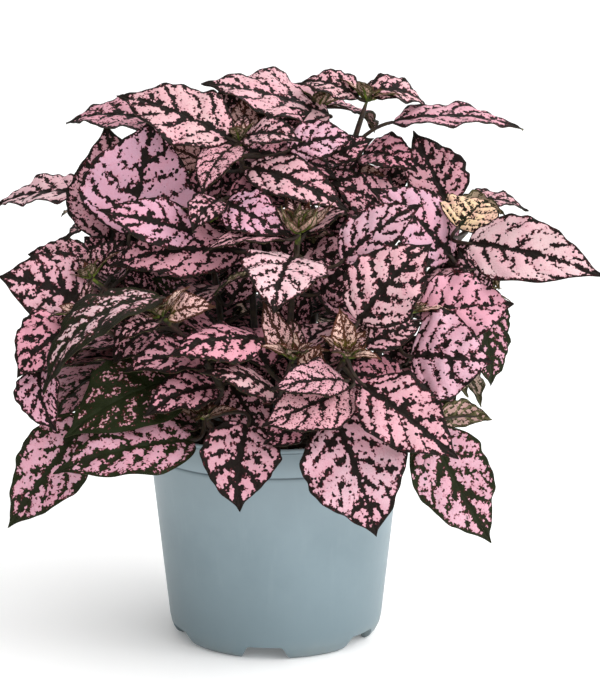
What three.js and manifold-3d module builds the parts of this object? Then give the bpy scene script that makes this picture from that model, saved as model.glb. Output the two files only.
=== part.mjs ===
// A polka dot plant in a 12 cm nursery pot, in millimetres.
// Z is up, the origin is on the ground at the pot's axis, and -Y is the front.
import * as THREE from "three";
import { mergeVertices } from "three/addons/utils/BufferGeometryUtils.js";
import Module from "manifold-3d";

const wasm = await Module();
wasm.setup();

// Pot
const POT_HEIGHT = 104;
const RIM_RADIUS = 61.5;
const RIM_FOOT_RADIUS = 60.9;
const RIM_BAND = 13.4;
const RIM_STEP = 0.7;
const WALL_FOOT_RADIUS = 51.5;
const WALL_FOOT_HEIGHT = 9;
const WALL = 1.3;
const CORNER = [[48.6, 1.8], [50, 4], [50.9, 6]];
const FOOT_RADIUS = 46.5;
const FOOT_INNER_RADIUS = 44.2;
const FLOOR_UNDER = 7;
const FLOOR_TOP = 8.3;
const POT_SIDES = 32;
const NOTCHES = 6;
const NOTCH_TURN = -6;
const NOTCH_HEIGHT = 6.8;
const NOTCH_HALF_TOP = 8.3;
const NOTCH_HALF_FOOT = 11.8;
const DRAIN_RADIUS = 4;
const DRAIN_CIRCLE = 34;
const DRAIN_SIDES = 8;

// Soil
const SOIL_TOP = 92;
const SOIL_GAP = 0.35;
const SOIL_BUMP = 1.1;
const SOIL_SIDES = 20;
const SOIL_RINGS = 3;

// Stems
const STEM_FOOT_RADIUS = 1.9;
const STEM_TIP_RADIUS = 1.1;
const STEM_DEPTH = 20;
const STEM_RISE = 8;
const STEM_SIDES = 4;
const STEM_STEPS = 4;
const HOLE_CLEARANCE = 0.5;
const HOLE_SIDES = 5;

// Leaves
const BLADE = 0.8;
const PETIOLE_RADIUS = 0.95;
const SHORTEST_PETIOLE = 4;
const LONG_PETIOLE = 13;
const STATIONS = { placed: [0.12, 0.34, 0.6, 0.84], pair: [0.14, 0.44, 0.78], young: [0.42] };
const WAVES = 2.6;
const WAVE_SHARE = 0.045;
const CLEARANCES = [1.1, 0.45];
const SLIVER = 0.02;

// Each placed leaf: blade base, tip, width, direction that its upper face looks, arch and edge lift.
const STEMS = {
  stem_top: {
    foot: [12, 12],
    tip: [43, 0, 256],
    turn: 20,
    leaves: [
      [[42, 2, 257], [13, 8, 264], 21, [0, -0.5, 0.85], 3, 2],
      [[43, 2, 260], [70, 10, 254], 20, [0, -0.55, 0.83], 4, 2],
      [[42, -4, 258], [54, -25, 247], 15, [0.3, 0.2, 0.9], 2, 2],
      [[55, 0, 246], [113, -3, 249], 29, [0, -0.27, 0.96], 3, 2],
      [[41, 4, 230], [64, -14, 226], 23, [0.2, -0.75, 0.6], 3, 3],
      [[36, 8, 213], [50, 2, 221], 20, [0, -0.7, 0.7], 2, 2],
    ],
  },
  stem_crown: {
    foot: [4, 24],
    tip: [20, 18, 251],
    turn: 60,
    leaves: [
      [[26, 14, 248], [-31, 2, 264], 38, [0, -0.52, 0.85], 3, 2],
      [[23, 24, 252], [48, 44, 240], 30, [0.1, -0.2, 0.95], 4, 2],
    ],
  },
  stem_upper_left: {
    foot: [-8, -6],
    tip: [-16, -15, 238],
    turn: 35,
    leaves: [
      [[-20, -20, 240], [-70, -8, 259], 36, [-0.1, -0.62, 0.78], 2, 2],
      [[-48, 8, 243], [-97, 20, 246], 32, [0, -0.42, 0.9], 4, 3],
      [[-18, -22, 237], [-32, -44, 220], 21, [-0.3, -0.7, 0.6], 3, 2],
      [[-14, -18, 240], [10, -32, 241], 20, [0, -0.62, 0.78], 3, 2],
      [[-16, -4, 240], [-13, 6, 258], 14, [0.1, -0.9, 0.4], -2, 2],
      [[6, -14, 234], [36, -12, 251], 25, [-0.25, -0.85, 0.45], 2, 2],
      [[-13, -22, 227], [31, -38, 211], 26, [-0.2, -0.55, 0.8], 4, 2],
      [[-8, -10, 232], [27, -14, 222], 26, [-0.1, -0.5, 0.85], 4, 2],
      [[-10, -14, 140], [-24, -34, 118], 30, [0, -0.85, 0.5], 3, 2],
    ],
  },
  stem_left_shoulder: {
    foot: [-22, 6],
    tip: [-32, -24, 202],
    turn: 10,
    leaves: [
      [[-67, -24, 196], [-57, -14, 246], 54, [0, -0.95, 0.3], -3, 2],
      [[-77, -6, 190], [-79, 4, 242], 45, [-0.2, -0.94, 0.3], -2, 2],
      [[-36, -34, 199], [-76, -44, 210], 24, [0, -0.85, 0.5], 3, 2],
      [[-25, -40, 214], [-36, -54, 204], 18, [-0.2, -0.8, 0.55], 2, 2],
      [[-22, -36, 213], [6, -48, 201], 24, [0.1, -0.8, 0.6], 3, 2],
      [[-21, -26, 214], [7, -30, 217], 24, [0.1, -0.62, 0.77], 3, 2],
      [[-16, -34, 190], [-73, -40, 186], 31, [0, -0.75, 0.66], 4, 2],
      [[-26, -4, 128], [-44, -24, 106], 30, [-0.2, -0.85, 0.5], 3, 2],
    ],
  },
  stem_left: {
    foot: [-34, -4],
    tip: [-84, -32, 178],
    turn: 50,
    leaves: [
      [[-87, -34, 167], [-122, -42, 180], 36, [-0.1, -0.85, 0.5], 3, 2],
      [[-86, -28, 180], [-113, -20, 187], 24, [-0.1, -0.72, 0.68], 2, 2],
      [[-81, -32, 180], [-70, -30, 194], 16, [0.2, -0.8, 0.5], 1, 2],
    ],
  },
  stem_left_front: {
    foot: [-30, -26],
    tip: [-85, -58, 164],
    turn: 0,
    leaves: [
      [[-88, -62, 160], [-112, -74, 143], 33, [-0.35, -0.8, 0.45], 4, 2],
      [[-104, -64, 143], [-98, -74, 118], 22, [-0.35, -0.9, 0.2], 3, 4],
      [[-85, -58, 119], [-119.5, -64, 71], 33, [-0.1, -0.95, 0.3], 4, 2],
    ],
  },
  stem_front_left: {
    foot: [-14, -34],
    tip: [-50, -66, 166],
    turn: 68,
    leaves: [
      [[-6, -72, 157], [-44, -90, 155], 26, [0, -0.55, 0.83], 4, -3],
      [[-50, -64, 174], [-98, -84, 135], 31, [-0.5, -0.5, 0.7], 12, 2],
      [[-32, -62, 148], [-68, -70, 145], 24, [0, -0.6, 0.8], 4, 2],
      [[-47, -68, 166], [-28, -74, 172], 16, [0, -0.65, 0.75], 2, 2],
      [[-52, -70, 164], [-67, -82, 159], 14, [-0.1, -0.6, 0.8], 2, 2],
      [[-56, -50, 157], [-71, -62, 146], 22, [-0.2, -0.7, 0.7], 3, 2],
      [[-20, -42, 130], [-6, -50, 106], 26, [0, -0.9, 0.4], 3, 2],
    ],
  },
  stem_low_left: {
    foot: [-26, -40],
    tip: [-32, -58, 118],
    turn: 30,
    leaves: [
      [[-36, -66, 110], [-95, -84, 101], 32, [0, -0.72, 0.7], 6, 2],
      [[-41, -54, 136], [-93, -70, 109], 42, [-0.25, -0.8, 0.55], 7, 2],
      [[-26, -66, 134], [-55, -84, 127], 22, [0, -0.7, 0.7], 3, 2],
      [[-12, -74, 119], [-16, -88, 86], 35, [0, -0.95, 0.3], 4, 2],
    ],
  },
  stem_front: {
    foot: [-2, -46],
    tip: [8, -72, 148],
    turn: 55,
    leaves: [
      [[2, -74, 131], [-29, -88, 146], 20, [0, -0.5, 0.87], 4, -2],
      [[5, -72, 148], [-10, -70, 170], 13, [-0.5, -0.55, 0.65], 1, 3],
      [[30, -86, 141], [-3, -104, 129], 24, [-0.1, -0.75, 0.65], 3, 2],
      [[15, -76, 140], [19, -76, 154], 13, [0, -0.9, 0.4], -1, 2],
      [[11, -78, 120], [-4, -84, 113], 16, [0, -0.8, 0.6], 2, 2],
      [[2, -54, 130], [16, -60, 106], 26, [0, -0.9, 0.4], 3, 2],
    ],
  },
  stem_front_right: {
    foot: [16, -44],
    tip: [31, -84, 151],
    turn: 15,
    leaves: [
      [[36, -82, 166], [66, -74, 198], 36, [-0.12, -0.8, 0.55], 3, 2],
      [[38, -82, 156], [63, -70, 163], 18, [0, -0.75, 0.65], 2, 2],
      [[38, -90, 140], [76, -106, 113], 33, [0, -0.85, 0.5], 4, 2],
      [[26, -84, 124], [43.5, -92, 75], 46, [0, -0.95, 0.3], 5, 2],
      [[31, -86, 150], [28, -88, 172], 11, [-0.1, -0.95, 0.3], -1, 3],
      [[33, -84, 149], [39, -80, 162], 10, [0.2, -0.9, 0.3], -1, 3],
    ],
  },
  stem_centre: {
    foot: [4, -24],
    tip: [11, -46, 204],
    turn: 65,
    leaves: [
      [[9, -52, 190], [0, -86, 174], 38, [0, -0.62, 0.78], 4, 2],
      [[30, -50, 188], [63, -46, 212], 26, [-0.15, -0.75, 0.62], 2, 2],
      [[5, -50, 198], [-30, -54, 197], 16, [0, -0.35, 0.93], 3, 2],
      [[-6, -44, 182], [-26, -52, 175], 18, [0, 0.3, 0.95], 2, 2],
      [[20, -40, 172], [34, -44, 187], 26, [0.1, -0.85, 0.5], 2, 2],
      [[8, -34, 136], [28, -44, 110], 30, [0, -0.85, 0.5], 3, 2],
    ],
  },
  stem_right_front: {
    foot: [32, -26],
    tip: [60, -62, 167],
    turn: 40,
    leaves: [
      [[62, -62, 169], [104, -58, 170], 34, [0.1, -0.85, 0.5], 3, 2],
      [[60, -72, 149], [92, -80, 153], 42, [0.15, -0.92, 0.38], 3, 2],
      [[68.5, -60, 114], [96.5, -64, 63], 36, [0.1, -0.95, 0.25], 4, 2],
      [[93, -45, 162], [99, -40, 131], 20, [0.3, -0.9, 0.3], 2, 2],
      [[74, -50, 115], [97, -46, 115], 16, [0.1, 0.9, 0.35], 2, 2],
      [[54, -66, 170], [29, -70, 174], 20, [-0.1, -0.7, 0.7], 2, 2],
      [[58, -56, 131], [30, -66, 141], 24, [-0.1, -0.8, 0.6], 3, 2],
      [[38, -40, 132], [54, -48, 108], 28, [0.1, -0.85, 0.5], 3, 2],
    ],
  },
  stem_right: {
    foot: [34, -4],
    tip: [91, -12, 198],
    turn: 5,
    leaves: [
      [[81, -26, 186], [46, -34, 218], 34, [0.1, -0.85, 0.5], 3, 2],
      [[87, -42, 195], [141.5, -70, 186], 33, [-0.08, -0.85, 0.52], 4, 2],
      [[82, 4, 206], [67, 12, 238], 33, [0.2, -0.85, 0.5], -2, 3],
      [[87, 4, 206], [117, 0, 206], 20, [0, -0.25, 0.97], 3, 2],
      [[84, -14, 208], [105, -22, 206], 18, [0, 0.62, 0.78], 3, 2],
      [[87, -10, 187], [105, -4, 170], 20, [0.1, 0.7, 0.7], 3, 2],
      [[55, -8, 204], [29, -12, 218], 26, [0, -0.8, 0.6], 3, 2],
      [[94, -30, 167], [104, -26, 145], 18, [0.2, -0.9, 0.3], 2, 2],
    ],
  },
  stem_back_left: {
    foot: [-24, 28],
    tip: [-80, 54, 197],
    turn: 25,
    leaves: [
      [[-95, 62, 206], [-139, 74, 199], 28, [0, -0.42, 0.9], 3, 3],
      [[-86, 56, 199], [-106, 64, 195], 14, [0, -0.3, 0.95], 2, 3],
    ],
  },
  stem_back: {
    foot: [-4, 44],
    tip: [-8, 76, 178],
    turn: 45,
    leaves: [[[-8, 82, 150], [-14, 109, 108], 40, [0, 0.9, 0.45], 6, 2]],
  },
  stem_back_right: { foot: [28, 30], tip: [64, 56, 196], turn: 70, leaves: [] },
  stem_far_right: { foot: [44, 12], tip: [100, 30, 158], turn: 33, leaves: [] },
  stem_far_left: { foot: [-44, 14], tip: [-100, 22, 150], turn: 60, leaves: [] },
  stem_middle: { foot: [12, 38], tip: [28, 56, 222], turn: 0, leaves: [] },
  stem_rear_left: { foot: [-16, 40], tip: [-42, 74, 208], turn: 85, leaves: [] },
};

// Pairs of leaves up a stem: place on the stem, length, rise in degrees, petiole length.
const PAIRS = [
  [0.9, 36, 20, 6],
  [0.7, 50, 2, 10],
  [0.46, 56, -16, 13],
];
const PAIR_WIDTH_SHARE = 0.62;
const PAIR_ARCH_SHARE = 0.09;
const FRONT_LIMIT = -64;
const FRONT_LEAN = 0.42;
const DOME_CENTRE = 118;
const DOME_RADII = [124, 104, 132];

// The pair of young leaves at a stem's tip.
const YOUNG_LENGTH = 17;
const YOUNG_RISE = 38;
const YOUNG_BASE = 2.2;

// Bends that a leaf may take to stay clear: turn and raise in degrees, and share of its length.
const SMALL_BENDS = [
  [0, 0, 1], [0, 4, 1], [0, -4, 1], [4, 0, 1], [-4, 0, 1], [0, 8, 1], [0, -8, 1], [8, 0, 1],
  [-8, 0, 1], [6, 6, 0.95], [-6, 6, 0.95], [6, -6, 0.95], [-6, -6, 0.95], [0, 13, 0.95],
  [0, -13, 0.95], [13, 0, 0.95], [-13, 0, 0.95], [0, 0, 0.85], [10, 10, 0.9], [-10, 10, 0.9],
  [10, -10, 0.9], [-10, -10, 0.9], [0, 18, 0.85], [0, -18, 0.85], [18, 0, 0.85], [-18, 0, 0.85],
];
const WIDE_BENDS = [
  [0, 0, 1], [0, 10, 1], [0, -10, 1], [12, 0, 1], [-12, 0, 1], [0, 20, 0.9], [0, -20, 0.9],
  [24, 0, 0.9], [-24, 0, 0.9], [20, 16, 0.85], [-20, 16, 0.85], [20, -16, 0.85],
  [-20, -16, 0.85], [0, 32, 0.8], [0, -32, 0.8], [38, 0, 0.8], [-38, 0, 0.8], [0, 0, 0.65],
];

const UP = new THREE.Vector3(0, 0, 1);
const degrees = THREE.MathUtils.degToRad;
const vector = (a) => new THREE.Vector3(...a);

// A fixed draw between 0 and 1 for each whole number.
function chance(n) {
  const v = Math.sin(n * 12.9898 + 4.1) * 43758.5453;
  return v - Math.floor(v);
}

function solidOf(geometry) {
  const g = geometry.clone();
  g.deleteAttribute("normal");
  g.deleteAttribute("uv");
  const merged = mergeVertices(g, 1e-4);
  return new wasm.Manifold(
    new wasm.Mesh({
      numProp: 3,
      vertProperties: merged.attributes.position.array,
      triVerts: new Uint32Array(merged.index.array),
    }),
  );
}

function meshOf(solid, material, name) {
  const made = solid.getMesh();
  const g = new THREE.BufferGeometry();
  g.setAttribute("position", new THREE.BufferAttribute(made.vertProperties, 3));
  g.setIndex(new THREE.BufferAttribute(made.triVerts, 1));
  g.computeVertexNormals();
  const mesh = new THREE.Mesh(g, material);
  mesh.name = name;
  return mesh;
}

// Joins rings of points into a closed skin. With flip, the under side's squares split like the upper's.
function skin(rings, tip, flip) {
  const n = rings[0].length;
  const points = rings.flat();
  const faces = [];
  for (let k = 2; k < n; k++) faces.push(0, k, k - 1);
  for (let i = 0; i + 1 < rings.length; i++)
    for (let j = 0; j < n; j++) {
      const a = i * n + j;
      const b = i * n + ((j + 1) % n);
      if (flip && (j === 3 || j === 4)) faces.push(a, b, a + n, b, b + n, a + n);
      else faces.push(a, b, b + n, a, b + n, a + n);
    }
  const last = (rings.length - 1) * n;
  if (tip) points.push(tip);
  for (let j = 0; j < n && tip; j++) faces.push(last + j, last + ((j + 1) % n), points.length - 1);
  for (let k = 2; k < n && !tip; k++) faces.push(last, last + k - 1, last + k);
  const g = new THREE.BufferGeometry().setFromPoints(points);
  g.setIndex(faces);
  return g;
}

// A stem rises straight out of the soil, then bends over to its tip.
function stemRoute(stem) {
  const foot = new THREE.Vector3(...stem.foot, SOIL_TOP + STEM_RISE);
  const tip = vector(stem.tip);
  const knee = foot.clone().lerp(tip, 0.25);
  knee.z = THREE.MathUtils.lerp(foot.z, tip.z, 0.55);
  return new THREE.QuadraticBezierCurve3(foot, knee, tip);
}

function stemRing(centre, along, radius) {
  const n = new THREE.Vector3(0, -1, 0).addScaledVector(along, along.y).normalize();
  const s = along.clone().cross(n);
  return Array.from({ length: STEM_SIDES }, (_, k) => {
    const a = (-2 * Math.PI * k) / STEM_SIDES;
    const ring = centre.clone().addScaledVector(s, -radius * Math.cos(a));
    return ring.addScaledVector(n, -radius * Math.sin(a));
  });
}

function stemSolid(route) {
  const low = route.getPoint(0).setZ(SOIL_TOP - STEM_DEPTH);
  const rings = [stemRing(low, UP, STEM_FOOT_RADIUS)];
  for (let i = 0; i <= STEM_STEPS; i++) {
    const t = i / STEM_STEPS;
    const radius = THREE.MathUtils.lerp(STEM_FOOT_RADIUS, STEM_TIP_RADIUS, t);
    const along = i ? route.getTangent(t) : UP.clone();
    rings.push(stemRing(route.getPoint(t), along, radius));
  }
  return solidOf(skin(rings));
}

// Half width of a blade along its rib, from base to drawn-out tip, as a share of the largest.
function outline(u) {
  return Math.pow(Math.sin(Math.PI * Math.pow(u, 0.68)), 0.85) * (1 - 0.45 * Math.pow(u, 5));
}

// The rib's place and directions at u, where n points out of the upper face and s to its right.
function ribFrame(leaf, u) {
  const chord = leaf.tip.clone().sub(leaf.base);
  const along = chord.clone().normalize();
  const n0 = leaf.face.clone().addScaledVector(along, -leaf.face.dot(along)).normalize();
  const s0 = along.clone().cross(n0);
  const hump = 4 * u * (1 - u);
  const slope = 4 * (1 - 2 * u);
  const at = leaf.base.clone().addScaledVector(chord, u);
  at.addScaledVector(n0, leaf.arch * hump).addScaledVector(s0, leaf.bow * hump);
  const t = chord.addScaledVector(n0, leaf.arch * slope).addScaledVector(s0, leaf.bow * slope);
  t.normalize();
  const n = n0.addScaledVector(t, -n0.dot(t)).normalize();
  return { at, t, n, s: t.clone().cross(n) };
}

function bladePoint(leaf, f, u, v, grow) {
  const share = outline(u);
  const wave = leaf.wave * Math.sin(2 * Math.PI * WAVES * u + leaf.phase + (v < 0 ? 1.7 : 0));
  const lift = (leaf.fold * Math.abs(v) + wave * v * v) * share;
  const half = (leaf.width / 2) * share + grow;
  return f.at.clone().addScaledVector(f.s, v * half).addScaledVector(f.n, lift);
}

function bladeRing(leaf, u, grow) {
  const f = ribFrame(leaf, u);
  const thick = BLADE / 2 + grow;
  const side = (v, sign) => bladePoint(leaf, f, u, v, grow).addScaledVector(f.n, sign * thick);
  return [side(-1, 1), side(0, 1), side(1, 1), side(1, -1), side(0, -1), side(-1, -1)];
}

// A petiole has four sides: its two edges each stand for both edges of the blade's ring.
function petioleRing(at, along, face, radius) {
  const n = face.clone().addScaledVector(along, -face.dot(along)).normalize();
  const s = along.clone().cross(n);
  const left = at.clone().addScaledVector(s, -radius);
  const right = at.clone().addScaledVector(s, radius);
  const top = at.clone().addScaledVector(n, radius);
  const under = at.clone().addScaledVector(n, -radius);
  return [left, top, right, right.clone(), under, left.clone()];
}

// The petiole leaves the stem at the root and runs into the rib along the blade's own direction.
function petioleRings(leaf, grow) {
  const f = ribFrame(leaf, 0);
  const reach = leaf.root.distanceTo(leaf.base);
  const middle = leaf.base.clone().addScaledVector(f.t, -reach * 0.45);
  const curve = new THREE.QuadraticBezierCurve3(leaf.root, middle, leaf.base);
  const places = reach > LONG_PETIOLE ? [0, 0.5, 1] : [0, 1];
  const radius = leaf.petiole + grow;
  return places.map((p) => petioleRing(curve.getPoint(p), curve.getTangent(p), f.n, radius));
}

function bladeSolid(leaf, grow) {
  const rings = leaf.stations.map((u) => bladeRing(leaf, u, grow));
  return solidOf(skin(rings, ribFrame(leaf, 1).at.addScaledVector(ribFrame(leaf, 1).t, grow), true));
}

function leafSolid(leaf, grow) {
  const rings = petioleRings(leaf, grow).concat(leaf.stations.map((u) => bladeRing(leaf, u, grow)));
  return solidOf(skin(rings, ribFrame(leaf, 1).at.addScaledVector(ribFrame(leaf, 1).t, grow), true));
}

// The stem point nearest to the blade's rib drawn backwards from its base.
function rootOn(route, base, tip) {
  const aim = base.clone().addScaledVector(tip.clone().sub(base), -0.12);
  const points = route.getPoints(40).slice(2);
  points.sort((a, b) => a.distanceTo(aim) - b.distanceTo(aim));
  return points[0];
}

function makeLeaf(root, base, tip, width, face, arch, fold, number, kind) {
  const young = kind === "young";
  const leaf = { root, base: base.clone(), tip: tip.clone(), width, face: face.clone(), arch, fold };
  if (base.distanceTo(root) < SHORTEST_PETIOLE && !young)
    leaf.base = root.clone().addScaledVector(tip.clone().sub(root).normalize(), SHORTEST_PETIOLE);
  leaf.young = young;
  leaf.petiole = PETIOLE_RADIUS * (young ? 0.7 : 1);
  leaf.wave = WAVE_SHARE * width * (0.6 + 0.8 * chance(number));
  leaf.phase = 2 * Math.PI * chance(number + 0.5);
  leaf.bow = 0.05 * width * (2 * chance(number + 0.25) - 1);
  leaf.stations = STATIONS[kind];
  return leaf;
}

function bent(leaf, [turn, raise, share]) {
  const chord = leaf.tip.clone().sub(leaf.base);
  const across = chord.clone().cross(UP).normalize();
  const swing = new THREE.Quaternion().setFromAxisAngle(UP, degrees(turn));
  const lift = new THREE.Quaternion().setFromAxisAngle(across, degrees(raise));
  const copy = { ...leaf, width: leaf.width * share };
  copy.tip = leaf.base.clone().add(chord.applyQuaternion(lift).applyQuaternion(swing).multiplyScalar(share));
  copy.face = leaf.face.clone().applyQuaternion(lift).applyQuaternion(swing);
  return copy;
}

const boxOf = (solid) => {
  const { min, max } = solid.boundingBox();
  return new THREE.Box3(vector(min), vector(max));
};

// Everything that a new leaf has to stay clear of: pot, soil, stems and the leaves before it.
const placed = [];

function put(node, whole, blade) {
  placed.push({ node, whole, blade, box: boxOf(whole) });
}

function isClear(leaf, node, grow) {
  const whole = leafSolid(leaf, grow);
  const blade = leaf.young ? null : bladeSolid(leaf, grow);
  const box = boxOf(whole);
  return !placed.some((other) => {
    if (!box.intersectsBox(other.box)) return false;
    if (other.node !== node) return whole.intersect(other.whole).volume() > 0;
    return blade && other.blade && blade.intersect(other.blade).volume() > 0;
  });
}

function firstClear(leaf, node, bends, fits) {
  const tries = bends.map((b) => bent(leaf, b)).filter(fits);
  for (const grow of CLEARANCES) {
    const found = tries.find((t) => isClear(t, node, grow));
    if (found) return found;
  }
  return null;
}

function addLeaf(node, leaf, bends, fits = () => true) {
  const clear = firstClear(leaf, node, bends, fits);
  if (!clear) return;
  const whole = leafSolid(clear, 0);
  put(node, whole, leaf.young ? null : bladeSolid(clear, 0));
  solids[node] = solids[node].add(whole);
}

// Leaves that the stem bears by rule, in crossed pairs.
function pairLeaf(route, stem, k, side, number) {
  const [place, length, rise, petiole] = PAIRS[k];
  const root = route.getPoint(place);
  const heading = degrees(stem.turn + 90 * k + 180 * side + 24 * (chance(number) - 0.5));
  const flat = new THREE.Vector3(Math.cos(heading), Math.sin(heading), 0);
  const lift = degrees(rise + 20 * (chance(number + 0.3) - 0.5));
  const size = length * (0.85 + 0.3 * chance(number + 0.6));
  const out = flat.clone().multiplyScalar(Math.cos(lift)).addScaledVector(UP, Math.sin(lift));
  const base = root.clone().addScaledVector(flat, petiole).addScaledVector(UP, petiole * 0.6);
  const tip = base.clone().addScaledVector(out, size);
  const width = size * PAIR_WIDTH_SHARE;
  return makeLeaf(root, base, tip, width, UP, size * PAIR_ARCH_SHARE, 2, number, "pair");
}

function youngLeaf(route, stem, side, number) {
  const root = route.getPoint(1);
  const up = route.getTangent(1).lerp(UP, 0.5).normalize();
  const heading = degrees(stem.turn + 45 + 180 * side);
  const flat = new THREE.Vector3(Math.cos(heading), Math.sin(heading), 0);
  flat.addScaledVector(up, -flat.dot(up)).normalize();
  const lift = degrees(YOUNG_RISE + 10 * (chance(number) - 0.5));
  const out = flat.clone().multiplyScalar(Math.cos(lift)).addScaledVector(up, Math.sin(lift));
  const face = up.clone().multiplyScalar(Math.cos(lift)).addScaledVector(flat, -Math.sin(lift));
  const size = YOUNG_LENGTH * (0.85 + 0.3 * chance(number + 0.4));
  const base = root.clone().addScaledVector(out, YOUNG_BASE);
  const tip = root.clone().addScaledVector(out, size);
  return makeLeaf(root, base, tip, size * 0.5, face, size * 0.06, 1, number, "young");
}

const inDome = ({ tip }) =>
  (tip.x / DOME_RADII[0]) ** 2 +
    (tip.y / DOME_RADII[1]) ** 2 +
    ((tip.z - DOME_CENTRE) / DOME_RADII[2]) ** 2 < 1;

// The front of the foliage leans back as it rises, and the leaves by rule stay behind it.
const isBehindFront = ({ tip }) => tip.y > FRONT_LIMIT + FRONT_LEAN * (tip.z - POT_HEIGHT);

// Pot: a turned shell with a rim band, on a foot ring cut by notches.
function turned(profile, sides) {
  const points = profile.map(([r, z]) => new THREE.Vector2(r, z));
  return new THREE.LatheGeometry(points, sides).rotateX(Math.PI / 2);
}

function potProfile() {
  const band = POT_HEIGHT - RIM_BAND;
  const outside = [
    [0, FLOOR_UNDER],
    [FOOT_INNER_RADIUS, FLOOR_UNDER],
    [FOOT_INNER_RADIUS, 0],
    [FOOT_RADIUS, 0],
    ...CORNER,
    [WALL_FOOT_RADIUS, WALL_FOOT_HEIGHT],
    [RIM_FOOT_RADIUS - RIM_STEP, band],
    [RIM_FOOT_RADIUS, band],
    [RIM_RADIUS, POT_HEIGHT - 0.6],
    [RIM_RADIUS - 0.5, POT_HEIGHT],
  ];
  const inside = [
    [RIM_RADIUS - WALL, POT_HEIGHT],
    [RIM_FOOT_RADIUS - RIM_STEP - WALL, band - 1],
    [WALL_FOOT_RADIUS - WALL, FLOOR_TOP + 2.5],
    [WALL_FOOT_RADIUS - WALL - 1.6, FLOOR_TOP],
    [0, FLOOR_TOP],
  ];
  return outside.concat(inside);
}

// A notch is a wedge whose sides open towards the ground, cut through the foot ring.
function notchSolid(turn) {
  const shape = new THREE.Shape([
    new THREE.Vector2(-NOTCH_HALF_FOOT, -1),
    new THREE.Vector2(NOTCH_HALF_FOOT, -1),
    new THREE.Vector2(NOTCH_HALF_TOP, NOTCH_HEIGHT),
    new THREE.Vector2(-NOTCH_HALF_TOP, NOTCH_HEIGHT),
  ]);
  const g = new THREE.ExtrudeGeometry(shape, { depth: 24, bevelEnabled: false });
  g.rotateX(Math.PI / 2).translate(0, -FOOT_INNER_RADIUS + 12, 0).rotateZ(degrees(turn));
  return solidOf(g);
}

function makePot() {
  let pot = solidOf(turned(potProfile(), POT_SIDES));
  for (let k = 0; k < NOTCHES; k++) {
    const turn = NOTCH_TURN + (360 / NOTCHES) * k;
    const drain = new THREE.CylinderGeometry(DRAIN_RADIUS, DRAIN_RADIUS, 10, DRAIN_SIDES);
    drain.rotateX(Math.PI / 2).translate(0, -DRAIN_CIRCLE, FLOOR_TOP - 2).rotateZ(degrees(turn));
    pot = pot.subtract(notchSolid(turn)).subtract(solidOf(drain));
  }
  return pot;
}

// Soil: fills the pot to below its rim, with an uneven top and a plain hole for each stem.
function makeSoil() {
  const low = WALL_FOOT_RADIUS - WALL - SOIL_GAP;
  const slope = (RIM_FOOT_RADIUS - RIM_STEP - WALL_FOOT_RADIUS) / (POT_HEIGHT - RIM_BAND - WALL_FOOT_HEIGHT);
  const high = low + slope * (SOIL_TOP - FLOOR_TOP - 3) - 0.4;
  const side = [
    [0, FLOOR_TOP + SOIL_GAP],
    [low - 2.2, FLOOR_TOP + SOIL_GAP],
    [low, FLOOR_TOP + 3],
    [high, SOIL_TOP - 1.5],
  ];
  const top = Array.from({ length: SOIL_RINGS }, (_, i) => {
    return [high * (1 - i / SOIL_RINGS) * 0.98, SOIL_TOP];
  });
  const g = turned(side.concat(top, [[0, SOIL_TOP]]), SOIL_SIDES);
  const p = g.attributes.position;
  for (let i = 0; i < p.count; i++) {
    if (p.getZ(i) < SOIL_TOP - 0.01) continue;
    const bump = Math.sin(p.getX(i) * 0.31) * Math.cos(p.getY(i) * 0.37 + 1) + Math.sin(p.getY(i) * 0.83);
    p.setZ(i, SOIL_TOP + SOIL_BUMP * 0.5 * bump);
  }
  let soil = solidOf(g);
  const radius = STEM_FOOT_RADIUS + HOLE_CLEARANCE;
  for (const stem of Object.values(STEMS)) {
    const hole = new THREE.CylinderGeometry(radius, radius, 2 * STEM_DEPTH + 2, HOLE_SIDES);
    hole.rotateX(Math.PI / 2).translate(...stem.foot, SOIL_TOP);
    soil = soil.subtract(solidOf(hole));
  }
  return soil;
}

// The largest body of a solid, without the hollows and slivers that joining its leaves has left.
function cleaned(solid) {
  return solid.decompose().sort((a, b) => b.volume() - a.volume())[0].simplify(SLIVER);
}

const solids = { pot: makePot(), soil: makeSoil() };
put("pot", solids.pot, null);
put("soil", solids.soil, null);

const routes = {};
for (const [name, stem] of Object.entries(STEMS)) {
  routes[name] = stemRoute(stem);
  solids[name] = stemSolid(routes[name]);
  put(name, solids[name], solids[name]);
}

let number = 0;
for (const [name, stem] of Object.entries(STEMS))
  for (const [base, tip, width, face, arch, fold] of stem.leaves) {
    const [from, to] = [vector(base), vector(tip)];
    const root = rootOn(routes[name], from, to);
    const leaf = makeLeaf(root, from, to, width, vector(face), arch, fold, ++number, "placed");
    addLeaf(name, leaf, SMALL_BENDS);
  }

for (const [name, stem] of Object.entries(STEMS))
  for (const side of [0, 1]) addLeaf(name, youngLeaf(routes[name], stem, side, ++number), WIDE_BENDS);

for (let k = 0; k < PAIRS.length; k++)
  for (const [name, stem] of Object.entries(STEMS)) {
    const fits = (leaf) => inDome(leaf) && isBehindFront(leaf);
    for (const side of [0, 1])
      addLeaf(name, pairLeaf(routes[name], stem, k, side, ++number), WIDE_BENDS, fits);
  }

const materials = {
  pot: new THREE.MeshStandardMaterial({ color: 0x8ca0a8, roughness: 0.45 }),
  soil: new THREE.MeshStandardMaterial({ color: 0x2b211b, roughness: 1 }),
  leaf: new THREE.MeshStandardMaterial({ color: 0xe39bb4, roughness: 0.55 }),
};

const plant = new THREE.Group();
for (const [name, solid] of Object.entries(solids))
  plant.add(meshOf(cleaned(solid), materials[name] ?? materials.leaf, name));

export default plant;
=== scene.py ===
"""A polka dot plant in a nursery pot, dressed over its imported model.

Lengths in the tables are millimetres and Blender's are metres. Z is up and -Y is the front.
"""
import math
from itertools import product

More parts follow.
